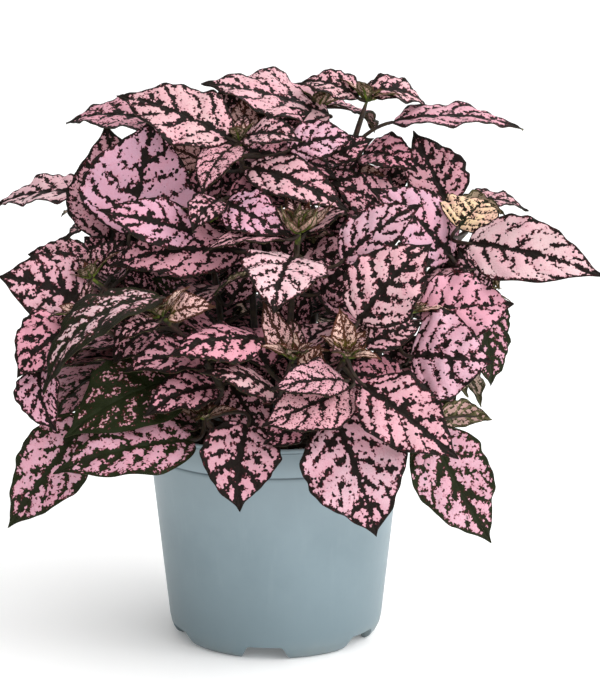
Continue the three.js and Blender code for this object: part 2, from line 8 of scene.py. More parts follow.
import bpy
import numpy as np
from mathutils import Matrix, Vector
from mathutils.kdtree import KDTree


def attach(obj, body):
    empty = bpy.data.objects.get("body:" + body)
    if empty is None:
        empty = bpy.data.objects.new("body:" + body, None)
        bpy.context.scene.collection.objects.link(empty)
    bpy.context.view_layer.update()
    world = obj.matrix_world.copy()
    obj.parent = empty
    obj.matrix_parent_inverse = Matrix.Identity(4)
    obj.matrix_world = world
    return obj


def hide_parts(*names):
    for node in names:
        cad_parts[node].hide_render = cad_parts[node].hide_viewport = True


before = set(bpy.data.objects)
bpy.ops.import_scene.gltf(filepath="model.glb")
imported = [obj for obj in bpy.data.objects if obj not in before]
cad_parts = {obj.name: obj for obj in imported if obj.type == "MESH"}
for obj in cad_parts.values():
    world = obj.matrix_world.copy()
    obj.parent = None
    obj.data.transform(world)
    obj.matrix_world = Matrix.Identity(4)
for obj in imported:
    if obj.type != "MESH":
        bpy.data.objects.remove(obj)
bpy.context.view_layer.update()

MM = 0.001

# Pot
POT_HEIGHT = 104
RIM_RADIUS = 61.5
RIM_FOOT_RADIUS = 60.9
RIM_BAND = 13.4
WALL = 1.3
WALL_FOOT = 9
WALL_FOOT_RADIUS = 51.5
FOOT_RADIUS = 46.5
FOOT_INNER_RADIUS = 44.2
FLOOR_UNDER = 7
FLOOR_TOP = 8.3
POT_SIDES = 128
NOTCHES = 6
NOTCH_TURN = -6
NOTCH_HEIGHT = 6.8
NOTCH_HALF_TOP = 8.3
NOTCH_HALF_FOOT = 11.8
NOTCH_MIDDLE = 47
NOTCH_DEPTH = 13
NOTCH_CORNER = 1.3
DRAIN_RADIUS = 4
DRAIN_CIRCLE = 34

# Soil
SOIL_TOP = 92
SOIL_RADIUS = 58.0
SOIL_SIDES = 96
SOIL_RINGS = 29
SOIL_RING = 1.9
CRUMBS = 150

# Stems: the foot is where a stem leaves the soil, and its joints are swollen.
STEM_FOOT_RADIUS = 1.9
STEM_TIP_RADIUS = 1.1
STEM_BELOW = 20
STEM_RISE = 8
STEM_KNEE_OUT = 0.25
STEM_KNEE_UP = 0.55
STEM_JOINTS = (0.3, 0.46, 0.7, 0.9)
STEM_RINGS = 30
STEM_RINGS_BELOW = 4
STEM_SIDES = 10
PETIOLE_RINGS = 18
PETIOLE_SIDES = 8

# Leaves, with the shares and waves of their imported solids
SOLID_BLADE = 0.8
BLADE = 0.44
SHORTEST_PETIOLE = 4
STATIONS = {"placed": (0.12, 0.34, 0.6, 0.84), "pair": (0.14, 0.44, 0.78), "young": (0.42,)}
WAVES = 2.6
WAVE_SHARE = 0.045
VEIN_PAIRS = 5.6

# Finer waves of a blade's edge: strength, number on the blade, and how far the leaf's seed and its
# left half shift them. The frill moves the edge up and out, and the scallop moves it out.
FRILL = [(0.6, 8.3, 19, 2.3), (0.7, 5.1, 43, 0.9)]
SCALLOP = [(1, 2.9, 31, 1.9)]

# A blade's tip is longer than its solid's by this share of the blade, and at most by this much.
TIP_SHARE = 0.09
LONGEST_TIP = 3.2

# A blade is quilted in full from this width on, and has finer marks below this length. A young
# one has this share of the thickness.
QUILTED_WIDTH = 30
FINE_LENGTH = 36
YOUNG_BLADE_SHARE = 0.75

# A petiole's tube: its radius, the share of it that comes before the blade, how far it runs on
# under the blade, and how it tapers
PETIOLE_RADIUS = 0.95
YOUNG_PETIOLE_RADIUS = 0.62
PETIOLE_FREE = 0.45
RIB_END = 0.93
PETIOLE_TAPER = ([0, 0.1, 0.4, 0.6, 1], [1.3, 1.0, 0.92, 0.66, 0.12])

# Edges flatter than this are shaded smooth.
LEAF_CREASE = math.radians(50)
POT_CREASE = math.radians(32)
POT_EASING = 0.3

# A blade before it is bent: its cuts along and across, by the kind of leaf. A leaf is big from
# this width on.
BLADE_CUTS = {"big": (42, 20), "small": (28, 14), "inner": (20, 12), "young": (14, 8)}
BIG_WIDTH = 21

# A leaf has the bend in which the largest share of its solid's corners, and at least this much,
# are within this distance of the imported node's.
PACKED_SHARE = 0.35
PACKED_NEAR = 0.03

# Inner leaves: tries on each stem, the least gap to other leaves, stems and petioles, and the dome
# that holds their tips, which is cut off at its front and below.
INNER_TRIES = 70
INNER_GAP = 2.6
INNER_RADII = np.array([108, 92, 122])
INNER_MIDDLE = np.array([0, 0, 118])
INNER_FRONT = -52
INNER_FRONT_SLOPE = 0.42
INNER_LOWEST = 90
INNER_WIDTH_SHARE = 0.66
INNER_LOOKS = ("dusky", "dusky", "mossy", "rose")

# The number of the first added leaf of each kind, from which its fixed draws come
FIRST_NUMBER = {"bud": 500, "cup": 700, "shade": 900, "inner": 1000, "closing": 4000}

# Pairs of leaves up a stem: place on the stem, length, rise in degrees, petiole length.
PAIRS = [
    (0.9, 36, 20, 6),
    (0.7, 50, 2, 10),
    (0.46, 56, -16, 13),
]
PAIR_LOOKS = [("pink", "rose", "dusky"), ("salmon", "dusky", "mossy")]
PAIR_WIDTH_SHARE = 0.62
PAIR_ARCH_SHARE = 0.09
YOUNG_LENGTH = 17
YOUNG_RISE = 38
YOUNG_BASE = 2.2

# Bends that a leaf may have taken to stay clear: turn and raise in degrees, and share of its
# length.
SMALL_BENDS = [
    (0, 0, 1), (0, 4, 1), (0, -4, 1), (4, 0, 1), (-4, 0, 1), (0, 8, 1), (0, -8, 1), (8, 0, 1),
    (-8, 0, 1), (6, 6, 0.95), (-6, 6, 0.95), (6, -6, 0.95), (-6, -6, 0.95), (0, 13, 0.95),
    (0, -13, 0.95), (13, 0, 0.95), (-13, 0, 0.95), (0, 0, 0.85), (10, 10, 0.9), (-10, 10, 0.9),
    (10, -10, 0.9), (-10, -10, 0.9), (0, 18, 0.85), (0, -18, 0.85), (18, 0, 0.85), (-18, 0, 0.85),
]
WIDE_BENDS = [
    (0, 0, 1), (0, 10, 1), (0, -10, 1), (12, 0, 1), (-12, 0, 1), (0, 20, 0.9), (0, -20, 0.9),
    (24, 0, 0.9), (-24, 0, 0.9), (20, 16, 0.85), (-20, 16, 0.85), (20, -16, 0.85),
    (-20, -16, 0.85), (0, 32, 0.8), (0, -32, 0.8), (38, 0, 0.8), (-38, 0, 0.8), (0, 0, 0.65),
]

# How a leaf is coloured: lilac, rose, green, fineness of marking, and how far the dark marks
# spread over the pink. Lilac below 0 is the grey-pink of the curled leaf. Rose below 0 is paler,
# and cream from -0.5 on. Fineness above 1 is a young leaf.
LOOKS = {
    "salmon": (0.05, 0.1, 0.0, 0.1, 0.2),
    "blush": (0.1, -0.3, 0.0, 0.1, -0.2),
    "pink": (0.4, 0.25, 0.0, 0.0, 0.12),
    "clear": (0.75, -0.08, 0.0, 0.1, -0.25),
    "rose": (0.45, 0.8, 0.05, 0.05, 0.1),
    "bloom": (0.8, 0.6, 0.0, 0.0, -0.75),
    "lilac": (1.0, 0.1, 0.0, 0.0, -0.15),
    "pale": (0.7, -0.15, 0.0, 0.0, 0.15),
    "fine": (0.1, 0.3, 0.1, 0.95, 0.4),
    "dusky": (0.35, 0.45, 0.25, 0.2, 0.45),
    "mossy": (0.75, 0.15, 0.75, 0.0, 0.4),
    "green": (0.4, 0.3, 1.0, 0.0, 1.3),
    "curled": (-0.75, 0.0, 0.5, 0.0, 0.5),
    "cream": (0.2, -0.75, 0.7, 0.4, -0.1),
    "bud": (0.0, -0.1, 0.3, 1.6, -0.7),
    "sprout": (0.05, 0.1, 0.3, 1.15, 0.45),
}

# Each leafy stem: foot, tip and turn
STEMS = {
    "stem_top": ((12, 12), (43, 0, 256), 20),
    "stem_crown": ((4, 24), (20, 18, 251), 60),
    "stem_upper_left": ((-8, -6), (-16, -15, 238), 35),
    "stem_left_shoulder": ((-22, 6), (-32, -24, 202), 10),
    "stem_left": ((-34, -4), (-84, -32, 178), 50),
    "stem_left_front": ((-30, -26), (-85, -58, 164), 0),
    "stem_front_left": ((-14, -34), (-50, -66, 166), 68),
    "stem_low_left": ((-26, -40), (-32, -58, 118), 30),
    "stem_front": ((-2, -46), (8, -72, 148), 55),
    "stem_front_right": ((16, -44), (31, -84, 151), 15),
    "stem_centre": ((4, -24), (11, -46, 204), 65),
    "stem_right_front": ((32, -26), (60, -62, 167), 40),
    "stem_right": ((34, -4), (91, -12, 198), 5),
    "stem_back_left": ((-24, 28), (-80, 54, 197), 25),
    "stem_back": ((-4, 44), (-8, 76, 178), 45),
    "stem_back_right": ((28, 30), (64, 56, 196), 70),
    "stem_far_right": ((44, 12), (100, 30, 158), 33),
    "stem_far_left": ((-44, 14), (-100, 22, 150), 60),
    "stem_middle": ((12, 38), (28, 56, 222), 0),
    "stem_rear_left": ((-16, 40), (-42, 74, 208), 85),
}

# The leaves that are placed one by one on a stem: blade base, tip, width, the way its upper face
# looks, arch, edge lift and look.
PLACED_LEAVES = {
    "stem_top": [
        ((42, 2, 257), (13, 8, 264), 21, (0, -0.5, 0.85), 3, 2, "salmon"),
        ((43, 2, 260), (70, 10, 254), 20, (0, -0.55, 0.83), 4, 2, "salmon"),
        ((42, -4, 258), (54, -25, 247), 15, (0.3, 0.2, 0.9), 2, 2, "fine"),
        ((55, 0, 246), (113, -3, 249), 29, (0, -0.27, 0.96), 3, 2, "pink"),
        ((41, 4, 230), (64, -14, 226), 23, (0.2, -0.75, 0.6), 3, 3, "rose"),
        ((36, 8, 213), (50, 2, 221), 20, (0, -0.7, 0.7), 2, 2, "fine"),
    ],
    "stem_crown": [
        ((26, 14, 248), (-31, 2, 264), 38, (0, -0.52, 0.85), 3, 2, "salmon"),
        ((23, 24, 252), (48, 44, 240), 30, (0.1, -0.2, 0.95), 4, 2, "pink"),
    ],
    "stem_upper_left": [
        ((-20, -20, 240), (-70, -8, 259), 36, (-0.1, -0.62, 0.78), 2, 2, "salmon"),
        ((-48, 8, 243), (-97, 20, 246), 32, (0, -0.42, 0.9), 4, 3, "dusky"),
        ((-18, -22, 237), (-32, -44, 220), 21, (-0.3, -0.7, 0.6), 3, 2, "fine"),
        ((-14, -18, 240), (10, -32, 241), 20, (0, -0.62, 0.78), 3, 2, "salmon"),
        ((-16, -4, 240), (-13, 6, 258), 14, (0.1, -0.9, 0.4), -2, 2, "fine"),
        ((6, -14, 234), (36, -12, 251), 25, (-0.25, -0.85, 0.45), 2, 2, "clear"),
        ((-13, -22, 227), (31, -38, 211), 26, (-0.2, -0.55, 0.8), 4, 2, "salmon"),
        ((-8, -10, 232), (27, -14, 222), 26, (-0.1, -0.5, 0.85), 4, 2, "rose"),
        ((-10, -14, 140), (-24, -34, 118), 30, (0, -0.85, 0.5), 3, 2, "dusky"),
    ],
    "stem_left_shoulder": [
        ((-67, -24, 196), (-57, -14, 246), 54, (0, -0.95, 0.3), -3, 2, "lilac"),
        ((-77, -6, 190), (-79, 4, 242), 45, (-0.2, -0.94, 0.3), -2, 2, "dusky"),
        ((-36, -34, 199), (-76, -44, 210), 24, (0, -0.85, 0.5), 3, 2, "lilac"),
        ((-25, -40, 214), (-36, -54, 204), 18, (-0.2, -0.8, 0.55), 2, 2, "pink"),
        ((-22, -36, 213), (6, -48, 201), 24, (0.1, -0.8, 0.6), 3, 2, "lilac"),
        ((-21, -26, 214), (7, -30, 217), 24, (0.1, -0.62, 0.77), 3, 2, "rose"),
        ((-16, -34, 190), (-73, -40, 186), 31, (0, -0.75, 0.66), 4, 2, "rose"),
        ((-26, -4, 128), (-44, -24, 106), 30, (-0.2, -0.85, 0.5), 3, 2, "dusky"),
    ],
    "stem_left": [
        ((-87, -34, 167), (-122, -42, 180), 36, (-0.1, -0.85, 0.5), 3, 2, "pink"),
        ((-86, -28, 180), (-113, -20, 187), 24, (-0.1, -0.72, 0.68), 2, 2, "dusky"),
        ((-81, -32, 180), (-70, -30, 194), 16, (0.2, -0.8, 0.5), 1, 2, "dusky"),
    ],
    "stem_left_front": [
        ((-88, -62, 160), (-112, -74, 143), 33, (-0.35, -0.8, 0.45), 4, 2, "rose"),
        ((-104, -64, 143), (-98, -74, 118), 22, (-0.35, -0.9, 0.2), 3, 4, "lilac"),
        ((-85, -58, 119), (-119.5, -64, 71), 33, (-0.1, -0.95, 0.3), 4, 2, "mossy"),
    ],
    "stem_front_left": [
        ((-6, -72, 157), (-44, -90, 155), 26, (0, -0.55, 0.83), 4, -3, "rose"),
        ((-50, -64, 174), (-98, -84, 135), 31, (-0.5, -0.5, 0.7), 12, 2, "curled"),
        ((-32, -62, 148), (-68, -70, 145), 24, (0, -0.6, 0.8), 4, 2, "rose"),
        ((-47, -68, 166), (-28, -74, 172), 16, (0, -0.65, 0.75), 2, 2, "fine"),
        ((-52, -70, 164), (-67, -82, 159), 14, (-0.1, -0.6, 0.8), 2, 2, "salmon"),
        ((-56, -50, 157), (-71, -62, 146), 22, (-0.2, -0.7, 0.7), 3, 2, "dusky"),
        ((-20, -42, 130), (-6, -50, 106), 26, (0, -0.9, 0.4), 3, 2, "dusky"),
    ],
    "stem_low_left": [
        ((-36, -66, 110), (-95, -84, 101), 32, (0, -0.72, 0.7), 6, 2, "mossy"),
        ((-41, -54, 136), (-93, -70, 109), 42, (-0.25, -0.8, 0.55), 7, 2, "green"),
        ((-26, -66, 134), (-55, -84, 127), 22, (0, -0.7, 0.7), 3, 2, "rose"),
        ((-12, -74, 119), (-16, -88, 86), 35, (0, -0.95, 0.3), 4, 2, "pink"),
    ],
    "stem_front": [
        ((2, -74, 131), (-29, -88, 146), 20, (0, -0.5, 0.87), 4, -2, "salmon"),
        ((5, -72, 148), (-10, -70, 170), 13, (-0.5, -0.55, 0.65), 1, 3, "fine"),
        ((30, -86, 141), (-3, -104, 129), 24, (-0.1, -0.75, 0.65), 3, 2, "fine"),
        ((15, -76, 140), (19, -76, 154), 13, (0, -0.9, 0.4), -1, 2, "fine"),
        ((11, -78, 120), (-4, -84, 113), 16, (0, -0.8, 0.6), 2, 2, "rose"),
        ((2, -54, 130), (16, -60, 106), 26, (0, -0.9, 0.4), 3, 2, "dusky"),
    ],
    "stem_front_right": [
        ((36, -82, 166), (66, -74, 198), 36, (-0.12, -0.8, 0.55), 3, 2, "salmon"),
        ((38, -82, 156), (63, -70, 163), 18, (0, -0.75, 0.65), 2, 2, "salmon"),
        ((38, -90, 140), (76, -106, 113), 33, (0, -0.85, 0.5), 4, 2, "pink"),
        ((26, -84, 124), (43.5, -92, 75), 46, (0, -0.95, 0.3), 5, 2, "pale"),
        ((31, -86, 150), (28, -88, 172), 11, (-0.1, -0.95, 0.3), -1, 3, "sprout"),
        ((33, -84, 149), (39, -80, 162), 10, (0.2, -0.9, 0.3), -1, 3, "sprout"),
    ],
    "stem_centre": [
        ((9, -52, 190), (0, -86, 174), 38, (0, -0.62, 0.78), 4, 2, "blush"),
        ((30, -50, 188), (63, -46, 212), 26, (-0.15, -0.75, 0.62), 2, 2, "clear"),
        ((5, -50, 198), (-30, -54, 197), 16, (0, -0.35, 0.93), 3, 2, "fine"),
        ((-6, -44, 182), (-26, -52, 175), 18, (0, 0.3, 0.95), 2, 2, "mossy"),
        ((20, -40, 172), (34, -44, 187), 26, (0.1, -0.85, 0.5), 2, 2, "pink"),
        ((8, -34, 136), (28, -44, 110), 30, (0, -0.85, 0.5), 3, 2, "dusky"),
    ],
    "stem_right_front": [
        ((62, -62, 169), (104, -58, 170), 34, (0.1, -0.85, 0.5), 3, 2, "bloom"),
        ((60, -72, 149), (92, -80, 153), 42, (0.15, -0.92, 0.38), 3, 2, "clear"),
        ((68.5, -60, 114), (96.5, -64, 63), 36, (0.1, -0.95, 0.25), 4, 2, "mossy"),
        ((93, -45, 162), (99, -40, 131), 20, (0.3, -0.9, 0.3), 2, 2, "mossy"),
        ((74, -50, 115), (97, -46, 115), 16, (0.1, 0.9, 0.35), 2, 2, "pink"),
        ((54, -66, 170), (29, -70, 174), 20, (-0.1, -0.7, 0.7), 2, 2, "pink"),
        ((58, -56, 131), (30, -66, 141), 24, (-0.1, -0.8, 0.6), 3, 2, "rose"),
        ((38, -40, 132), (54, -48, 108), 28, (0.1, -0.85, 0.5), 3, 2, "dusky"),
    ],
    "stem_right": [
        ((81, -26, 186), (46, -34, 218), 34, (0.1, -0.85, 0.5), 3, 2, "lilac"),
        ((87, -42, 195), (141.5, -70, 186), 33, (-0.08, -0.85, 0.52), 4, 2, "blush"),
        ((82, 4, 206), (67, 12, 238), 33, (0.2, -0.85, 0.5), -2, 3, "pink"),
        ((87, 4, 206), (117, 0, 206), 20, (0, -0.25, 0.97), 3, 2, "salmon"),
        ((84, -14, 208), (105, -22, 206), 18, (0, 0.62, 0.78), 3, 2, "cream"),
        ((87, -10, 187), (105, -4, 170), 20, (0.1, 0.7, 0.7), 3, 2, "cream"),
        ((55, -8, 204), (29, -12, 218), 26, (0, -0.8, 0.6), 3, 2, "pink"),
        ((94, -30, 167), (104, -26, 145), 18, (0.2, -0.9, 0.3), 2, 2, "mossy"),
    ],
    "stem_back_left": [
        ((-95, 62, 206), (-139, 74, 199), 28, (0, -0.42, 0.9), 3, 3, "blush"),
        ((-86, 56, 199), (-106, 64, 195), 14, (0, -0.3, 0.95), 2, 3, "dusky"),
    ],
    "stem_back": [
        ((-8, 82, 150), (-14, 109, 108), 40, (0, 0.9, 0.45), 6, 2, "pink"),
    ],
}

# Leaves whose petiole forks off lower than the nearest point of the stem: node and number, and
# the place on the stem.
FORKS = {("stem_top", 3): 0.84}

# Added leaves in the shade keep this gap to the leaves round them, and one that can't is left out.
# Nothing that is farther than their reach from a leaf's middle can touch it.
SHADE_GAP = 1.6
SHADE_ARCH = 1.5
LEAF_REACH = 45

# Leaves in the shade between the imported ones: stem, blade base, tip, width, the way its upper face
# looks, and look
SHADE_LEAVES = [
    ("stem_upper_left", (-31, 2, 226), (-53, 8, 234), 17, (0, -0.85, 0.5), "fine"),
    ("stem_upper_left", (-15, 2, 214), (-36, 8, 220), 16, (0, -0.85, 0.5), "rose"),
    ("stem_crown", (-11, 14, 218), (-33, 18, 231), 20, (0, -0.85, 0.5), "dusky"),
    ("stem_left_shoulder", (-18, 8, 209), (-39, 10, 217), 14, (0, -0.85, 0.5), "fine"),
    ("stem_top", (45, 1, 258), (62, -5, 248), 15, (-0.3, -0.7, 0.6), "pink"),
    ("stem_top", (50, 22, 212), (66, 24, 224), 16, (0, -0.85, 0.5), "pink"),
    ("stem_top", (26, -8, 196), (32, -8, 209), 14, (0, -0.9, 0.4), "dusky"),
    ("stem_centre", (7, -22, 153), (15, -26, 170), 16, (0, -0.85, 0.5), "dusky"),
    ("stem_front", (7, -40, 126), (-6, -46, 136), 14, (0, -0.85, 0.5), "dusky"),
    ("stem_right_front", (52, -32, 139), (64, -38, 151), 15, (0, -0.85, 0.5), "dusky"),
    ("stem_left_shoulder", (-58, -14, 164), (-71, -20, 177), 18, (0, -0.85, 0.5), "dusky"),
    ("stem_left_shoulder", (-45, -16, 164), (-58, -24, 173), 14, (0, -0.85, 0.5), "mossy"),
    ("stem_left", (-79, -12, 182), (-88, -10, 193), 15, (0, -0.85, 0.5), "dusky"),
    ("stem_right", (79, -8, 176), (91, -12, 189), 14, (0, -0.85, 0.5), "pale"),
    ("stem_right", (83, -35, 201), (96, -24, 213), 31, (-0.1, -0.6, 0.8), "cream"),
    ("stem_front_right", (33, -84, 138), (-3, -102, 126), 30, (-0.1, -0.85, 0.5), "fine"),
]

# Lines of sight from the front that a leaf in the shade closes: x and z where each crosses the
# plane y = 0, and the look of its leaf. The leaf's length, its distance from the eye and its turn
# are tried in the order given, against the leaves that are this close to the line of sight.
EYE = np.array([0.0, -950.0, 324.0])
SIGHT_REACH = 24
CLOSED_SIGHTS = [
    (-21, 256, "salmon"),
    (-20, 236, "rose"),
    (-10, 234, "pink"),
    (-12, 233, "pink"),
    (5, 247, "dusky"),
    (29, 218, "dusky"),
    (34, 220, "dusky"),
    (-36, 216, "rose"),
    (-31, 214, "rose"),
    (32, 208, "dusky"),
    (35, 205, "dusky"),
    (24, 196, "dusky"),
    (-67, 190, "dusky"),
    (-71, 188, "dusky"),
    (8, 193, "dusky"),
    (3, 189, "dusky"),
    (17, 189, "dusky"),
    (-17, 188, "dusky"),
    (93, 176, "pale"),
    (96, 173, "pale"),
    (-54, 165, "dusky"),
    (-75, 151, "dusky"),
    (-78, 149, "dusky"),
    (-72, 152, "dusky"),
    (-90, 138, "dusky"),
    (-1, 123, "dusky"),
    (80, 112, "mossy"),
    (-6, 249, "dusky"),
    (34, 234, "dusky"),
    (-6, 188, "dusky"),
    (-17, 177, "dusky"),
    (-15, 171, "dusky"),
    (-32, 174, "dusky"),
]
CLOSING_LENGTHS = (22, 17, 13, 10)
CLOSING_PLACES = range(944, 1040, 6)
CLOSING_TURNS = (60, 120, 20, 160, 90, 240, 300)

# How fast the green of a stem's tip gives way to brown below it.
BROWNING = {"stem_centre": 0.4, "stem_top": 4.0}

# The smallest leaves open in a star round a stem's tip: length and rise in degrees of each pair.
BUD_STAR = [(16, 24), (13, 36), (10, 48), (7.5, 60), (5, 74)]
# They are narrower than other young leaves by this share.
BUD_STAR_SHARE = 0.8

# One tip has a cup of small leaves, a bit lower on the stem, in place of the largest of its star.
CUP_STEM = "stem_centre"
CUP_PLACE = 0.955
CUP_LEAVES = 11
CUP_TURN = 137.5
CUP_ARCH = -1.6
CUP_SHARE = 0.84
STAR_LEAVES_LOST = 4

# The camera: how far it looks down and to the right in radians, its sensor in millimetres, and its
# focal length and the photograph's height in pixels
CAMERA_PITCH = 0.1935
CAMERA_YAW = 0.0124
SENSOR = 36
FOCAL_LENGTH = 2032
FRAME_HEIGHT = 700

# The studio floor, in metres
FLOOR_RADIUS = 60

UP = np.array([0.0, 0.0, 1.0])


def chance(n):
    """A fixed draw between 0 and 1 for each number."""
    v = math.sin(n * 12.9898 + 4.1) * 43758.5453
    return v - math.floor(v)


def unit(a):
    return a / np.linalg.norm(a)


def along(axis, rows):
    """The rows of vectors without their part along the axes, each made one long."""
    flat = rows - axis * np.sum(rows * axis, axis=-1, keepdims=True)
    return flat / np.linalg.norm(flat, axis=-1, keepdims=True)


def swung(a, axis, angle):
    """The vector a turned about an axis."""
    axis = unit(axis)
    cosine = math.cos(angle)
    return a * cosine + np.cross(axis, a) * math.sin(angle) + axis * axis.dot(a) * (1 - cosine)


def steps(low, high, x):
    """A smooth step from 0 at low to 1 at high."""
    t = np.clip((x - low) / (high - low), 0, 1)
    return t * t * (3 - 2 * t)


class Route:
    """A curve through a start and an end that leans on a knee between them."""

    def __init__(self, start, knee, end):
        self.start, self.knee, self.end = start, knee, end

    def point(self, t):
        t = np.asarray(t, float)[..., None]
        return (1 - t) ** 2 * self.start + 2 * t * (1 - t) * self.knee + t * t * self.end

    def heading(self, t):
        t = np.asarray(t, float)[..., None]
        way = (1 - t) * (self.knee - self.start) + t * (self.end - self.knee)
        return way / np.linalg.norm(way, axis=-1, keepdims=True)


def stem_route(foot, tip):
    """The line of a stem, which rises steeply out of the soil and leans out to its tip."""
    start = np.array([*foot, SOIL_TOP + STEM_RISE], float)
    end = np.array(tip, float)
    knee = start + (end - start) * STEM_KNEE_OUT
    knee[2] = start[2] + (end[2] - start[2]) * STEM_KNEE_UP
    return Route(start, knee, end)


class Leaf:
    """A leaf as its solid has it: where it is rooted, its blade's base and tip, and its form."""

    def __init__(self, root, base, tip, width, face, arch, fold, number, kind, look):
        self.root = root
        self.base = np.array(base, float)
        self.tip = np.array(tip, float)
        self.young = kind == "young"
        if np.linalg.norm(self.base - root) < SHORTEST_PETIOLE and not self.young:
            self.base = root + unit(self.tip - root) * SHORTEST_PETIOLE
        self.width = width
        self.face = np.array(face, float)
        self.arch, self.fold = arch, fold
        self.wave = WAVE_SHARE * width * (0.6 + 0.8 * chance(number))
        self.phase = 2 * math.pi * chance(number + 0.5)
        self.bow = 0.05 * width * (2 * chance(number + 0.25) - 1)
        self.stations = STATIONS[kind]
        self.seed = chance(number + 0.8)
        self.is_inner = False
        self.look = look

    def bent(self, bend):
        """The same leaf turned, raised and shrunk about its blade's base."""
        turn, raised, share = math.radians(bend[0]), math.radians(bend[1]), bend[2]
        made = Leaf.__new__(Leaf)
        made.__dict__.update(self.__dict__)
        chord = self.tip - self.base
        across = np.cross(chord, UP)
        made.width = self.width * share
        made.tip = self.base + swung(swung(chord, across, raised), UP, turn) * share
        made.face = swung(swung(self.face, across, raised), UP, turn)
        return made

    def rib(self, u):
        """At each u along the rib: its place, and the ways ahead, out of the face and right."""
        chord = self.tip - self.base
        ahead = unit(chord)
        out = unit(self.face - ahead * self.face.dot(ahead))
        right = np.cross(ahead, out)
        u = np.asarray(u, float)[:, None]
        hump = 4 * u * (1 - u)
        slope = 4 * (1 - 2 * u)
        place = self.base + chord * u + out * (self.arch * hump) + right * (self.bow * hump)
        way = chord + out * (self.arch * slope) + right * (self.bow * slope)
        way = way / np.linalg.norm(way, axis=1, keepdims=True)
        out = along(way, np.broadcast_to(out, way.shape))
        return place, way, out, np.cross(way, out)

    def rippled(self, u, v):
        """The rise of the solid's blade over its rib, as a share of the blade's half width."""
        ripple = self.wave * np.sin(2 * math.pi * WAVES * u + self.phase + np.where(v < 0, 1.7, 0))
        return self.fold * np.abs(v) + ripple * v * v

    def solid_points(self):
        """The corners of the leaf's solid: a ring of six at each station, and the tip."""
        u = np.repeat(self.stations, 6)
        v = np.tile([-1.0, 0, 1, 1, 0, -1], len(self.stations))
        side = np.tile([1.0, 1, 1, -1, -1, -1], len(self.stations))
        place, _, out, right = self.rib(u)
        share = half_share(u)
        rise = self.rippled(u, v) * share + side * SOLID_BLADE / 2
        ring = place + right * (v * self.width / 2 * share)[:, None] + out * rise[:, None]
        return np.vstack([ring, self.tip])


def half_share(u):
    """Half width of a blade along its rib, as a share of the largest."""
    u = np.clip(u, 0, 1)
    return np.sin(math.pi * u**0.68) ** 0.85 * (1 - 0.45 * u**5)


def rooted(route, base, tip):
    """The stem point nearest to the blade's rib drawn backwards from its base."""
    base, tip = np.array(base, float), np.array(tip, float)
    aim = base - 0.12 * (tip - base)
    points = route.point(np.arange(2, 41) / 40)
    return points[np.argmin(np.linalg.norm(points - aim, axis=1))]


def pair_leaf(route, turn, k, side, number):
    """One of a pair of leaves up a stem. Each pair stands across the next."""
    place, length, rise, petiole = PAIRS[k]
    root = route.point(place)
    heading = math.radians(turn + 90 * k + 180 * side + 24 * (chance(number) - 0.5))
    flat = np.array([math.cos(heading), math.sin(heading), 0])
    lift = math.radians(rise + 20 * (chance(number + 0.3) - 0.5))
    size = length * (0.85 + 0.3 * chance(number + 0.6))
    base = root + flat * petiole + UP * petiole * 0.6
    tip = base + (flat * math.cos(lift) + UP * math.sin(lift)) * size
    look = PAIR_LOOKS[0 if chance(number + 0.9) < 0.6 else 1][k]
    width = size * PAIR_WIDTH_SHARE
    return Leaf(root, base, tip, width, UP, size * PAIR_ARCH_SHARE, 2, number, "pair", look)


def young_leaf(route, turn, side, number, size=YOUNG_LENGTH, rise=YOUNG_RISE, look="sprout"):
    """A leaf without a petiole, at the very tip of a stem."""
    root = route.point(1)
    up = unit((route.heading(1) + UP) / 2)
    heading = math.radians(turn + 45 + 180 * side)
    flat = along(up, np.array([math.cos(heading), math.sin(heading), 0]))
    lift = math.radians(rise + 10 * (chance(number) - 0.5))
    out = flat * math.cos(lift) + up * math.sin(lift)
    face = up * math.cos(lift) - flat * math.sin(lift)
    size = size * (0.85 + 0.3 * chance(number + 0.4))
    base = root + out * YOUNG_BASE
    tip = root + out * size
    return Leaf(root, base, tip, size * 0.5, face, size * 0.06, 1, number, "young", look)


def node_corners(node):
    """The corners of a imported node, in millimetres, ready to be searched."""
    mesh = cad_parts[node].data
    places = np.empty(len(mesh.vertices) * 3, np.float32)
    mesh.vertices.foreach_get("co", places)
    places = places.reshape(-1, 3) / MM
    found = KDTree(len(places))
    for i, place in enumerate(places):
        found.insert(place, i)
    found.balance()
    return found


def as_packed(leaf, corners, bends):
    """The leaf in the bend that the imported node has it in, or None where it isn't there."""
    best, most = None, PACKED_SHARE
    for bend in bends:
        made = leaf.bent(bend)
        points = made.solid_points()
        share = sum(corners.find(p)[2] < PACKED_NEAR for p in points) / len(points)
        if share > most:
            best, most = made, share
    return best


def leaves_of_all():
    """The leaves of every stem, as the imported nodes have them."""
    routes = {node: stem_route(foot, tip) for node, (foot, tip, _) in STEMS.items()}
    corners = {node: node_corners(node) for node in STEMS}
    found = {node: [] for node in STEMS}
    number = 0

    def keep(node, leaf, bends):
        made = as_packed(leaf, corners[node], bends)
        if made:
            found[node].append(made)

    for node, placed in PLACED_LEAVES.items():
        for k, (base, tip, width, face, arch, fold, look) in enumerate(placed):
            number += 1
            root = rooted(routes[node], base, tip)
            if (node, k) in FORKS:
                root = routes[node].point(FORKS[node, k])
            leaf = Leaf(root, base, tip, width, face, arch, fold, number, "placed", look)
            keep(node, leaf, SMALL_BENDS)
    for node, (_, _, turn) in STEMS.items():
        for side in (0, 1):
            number += 1
            keep(node, young_leaf(routes[node], turn, side, number), WIDE_BENDS)
    for k in range(len(PAIRS)):
        for node, (_, _, turn) in STEMS.items():
            for side in (0, 1):
                number += 1
                keep(node, pair_leaf(routes[node], turn, k, side, number), WIDE_BENDS)
    return routes, found


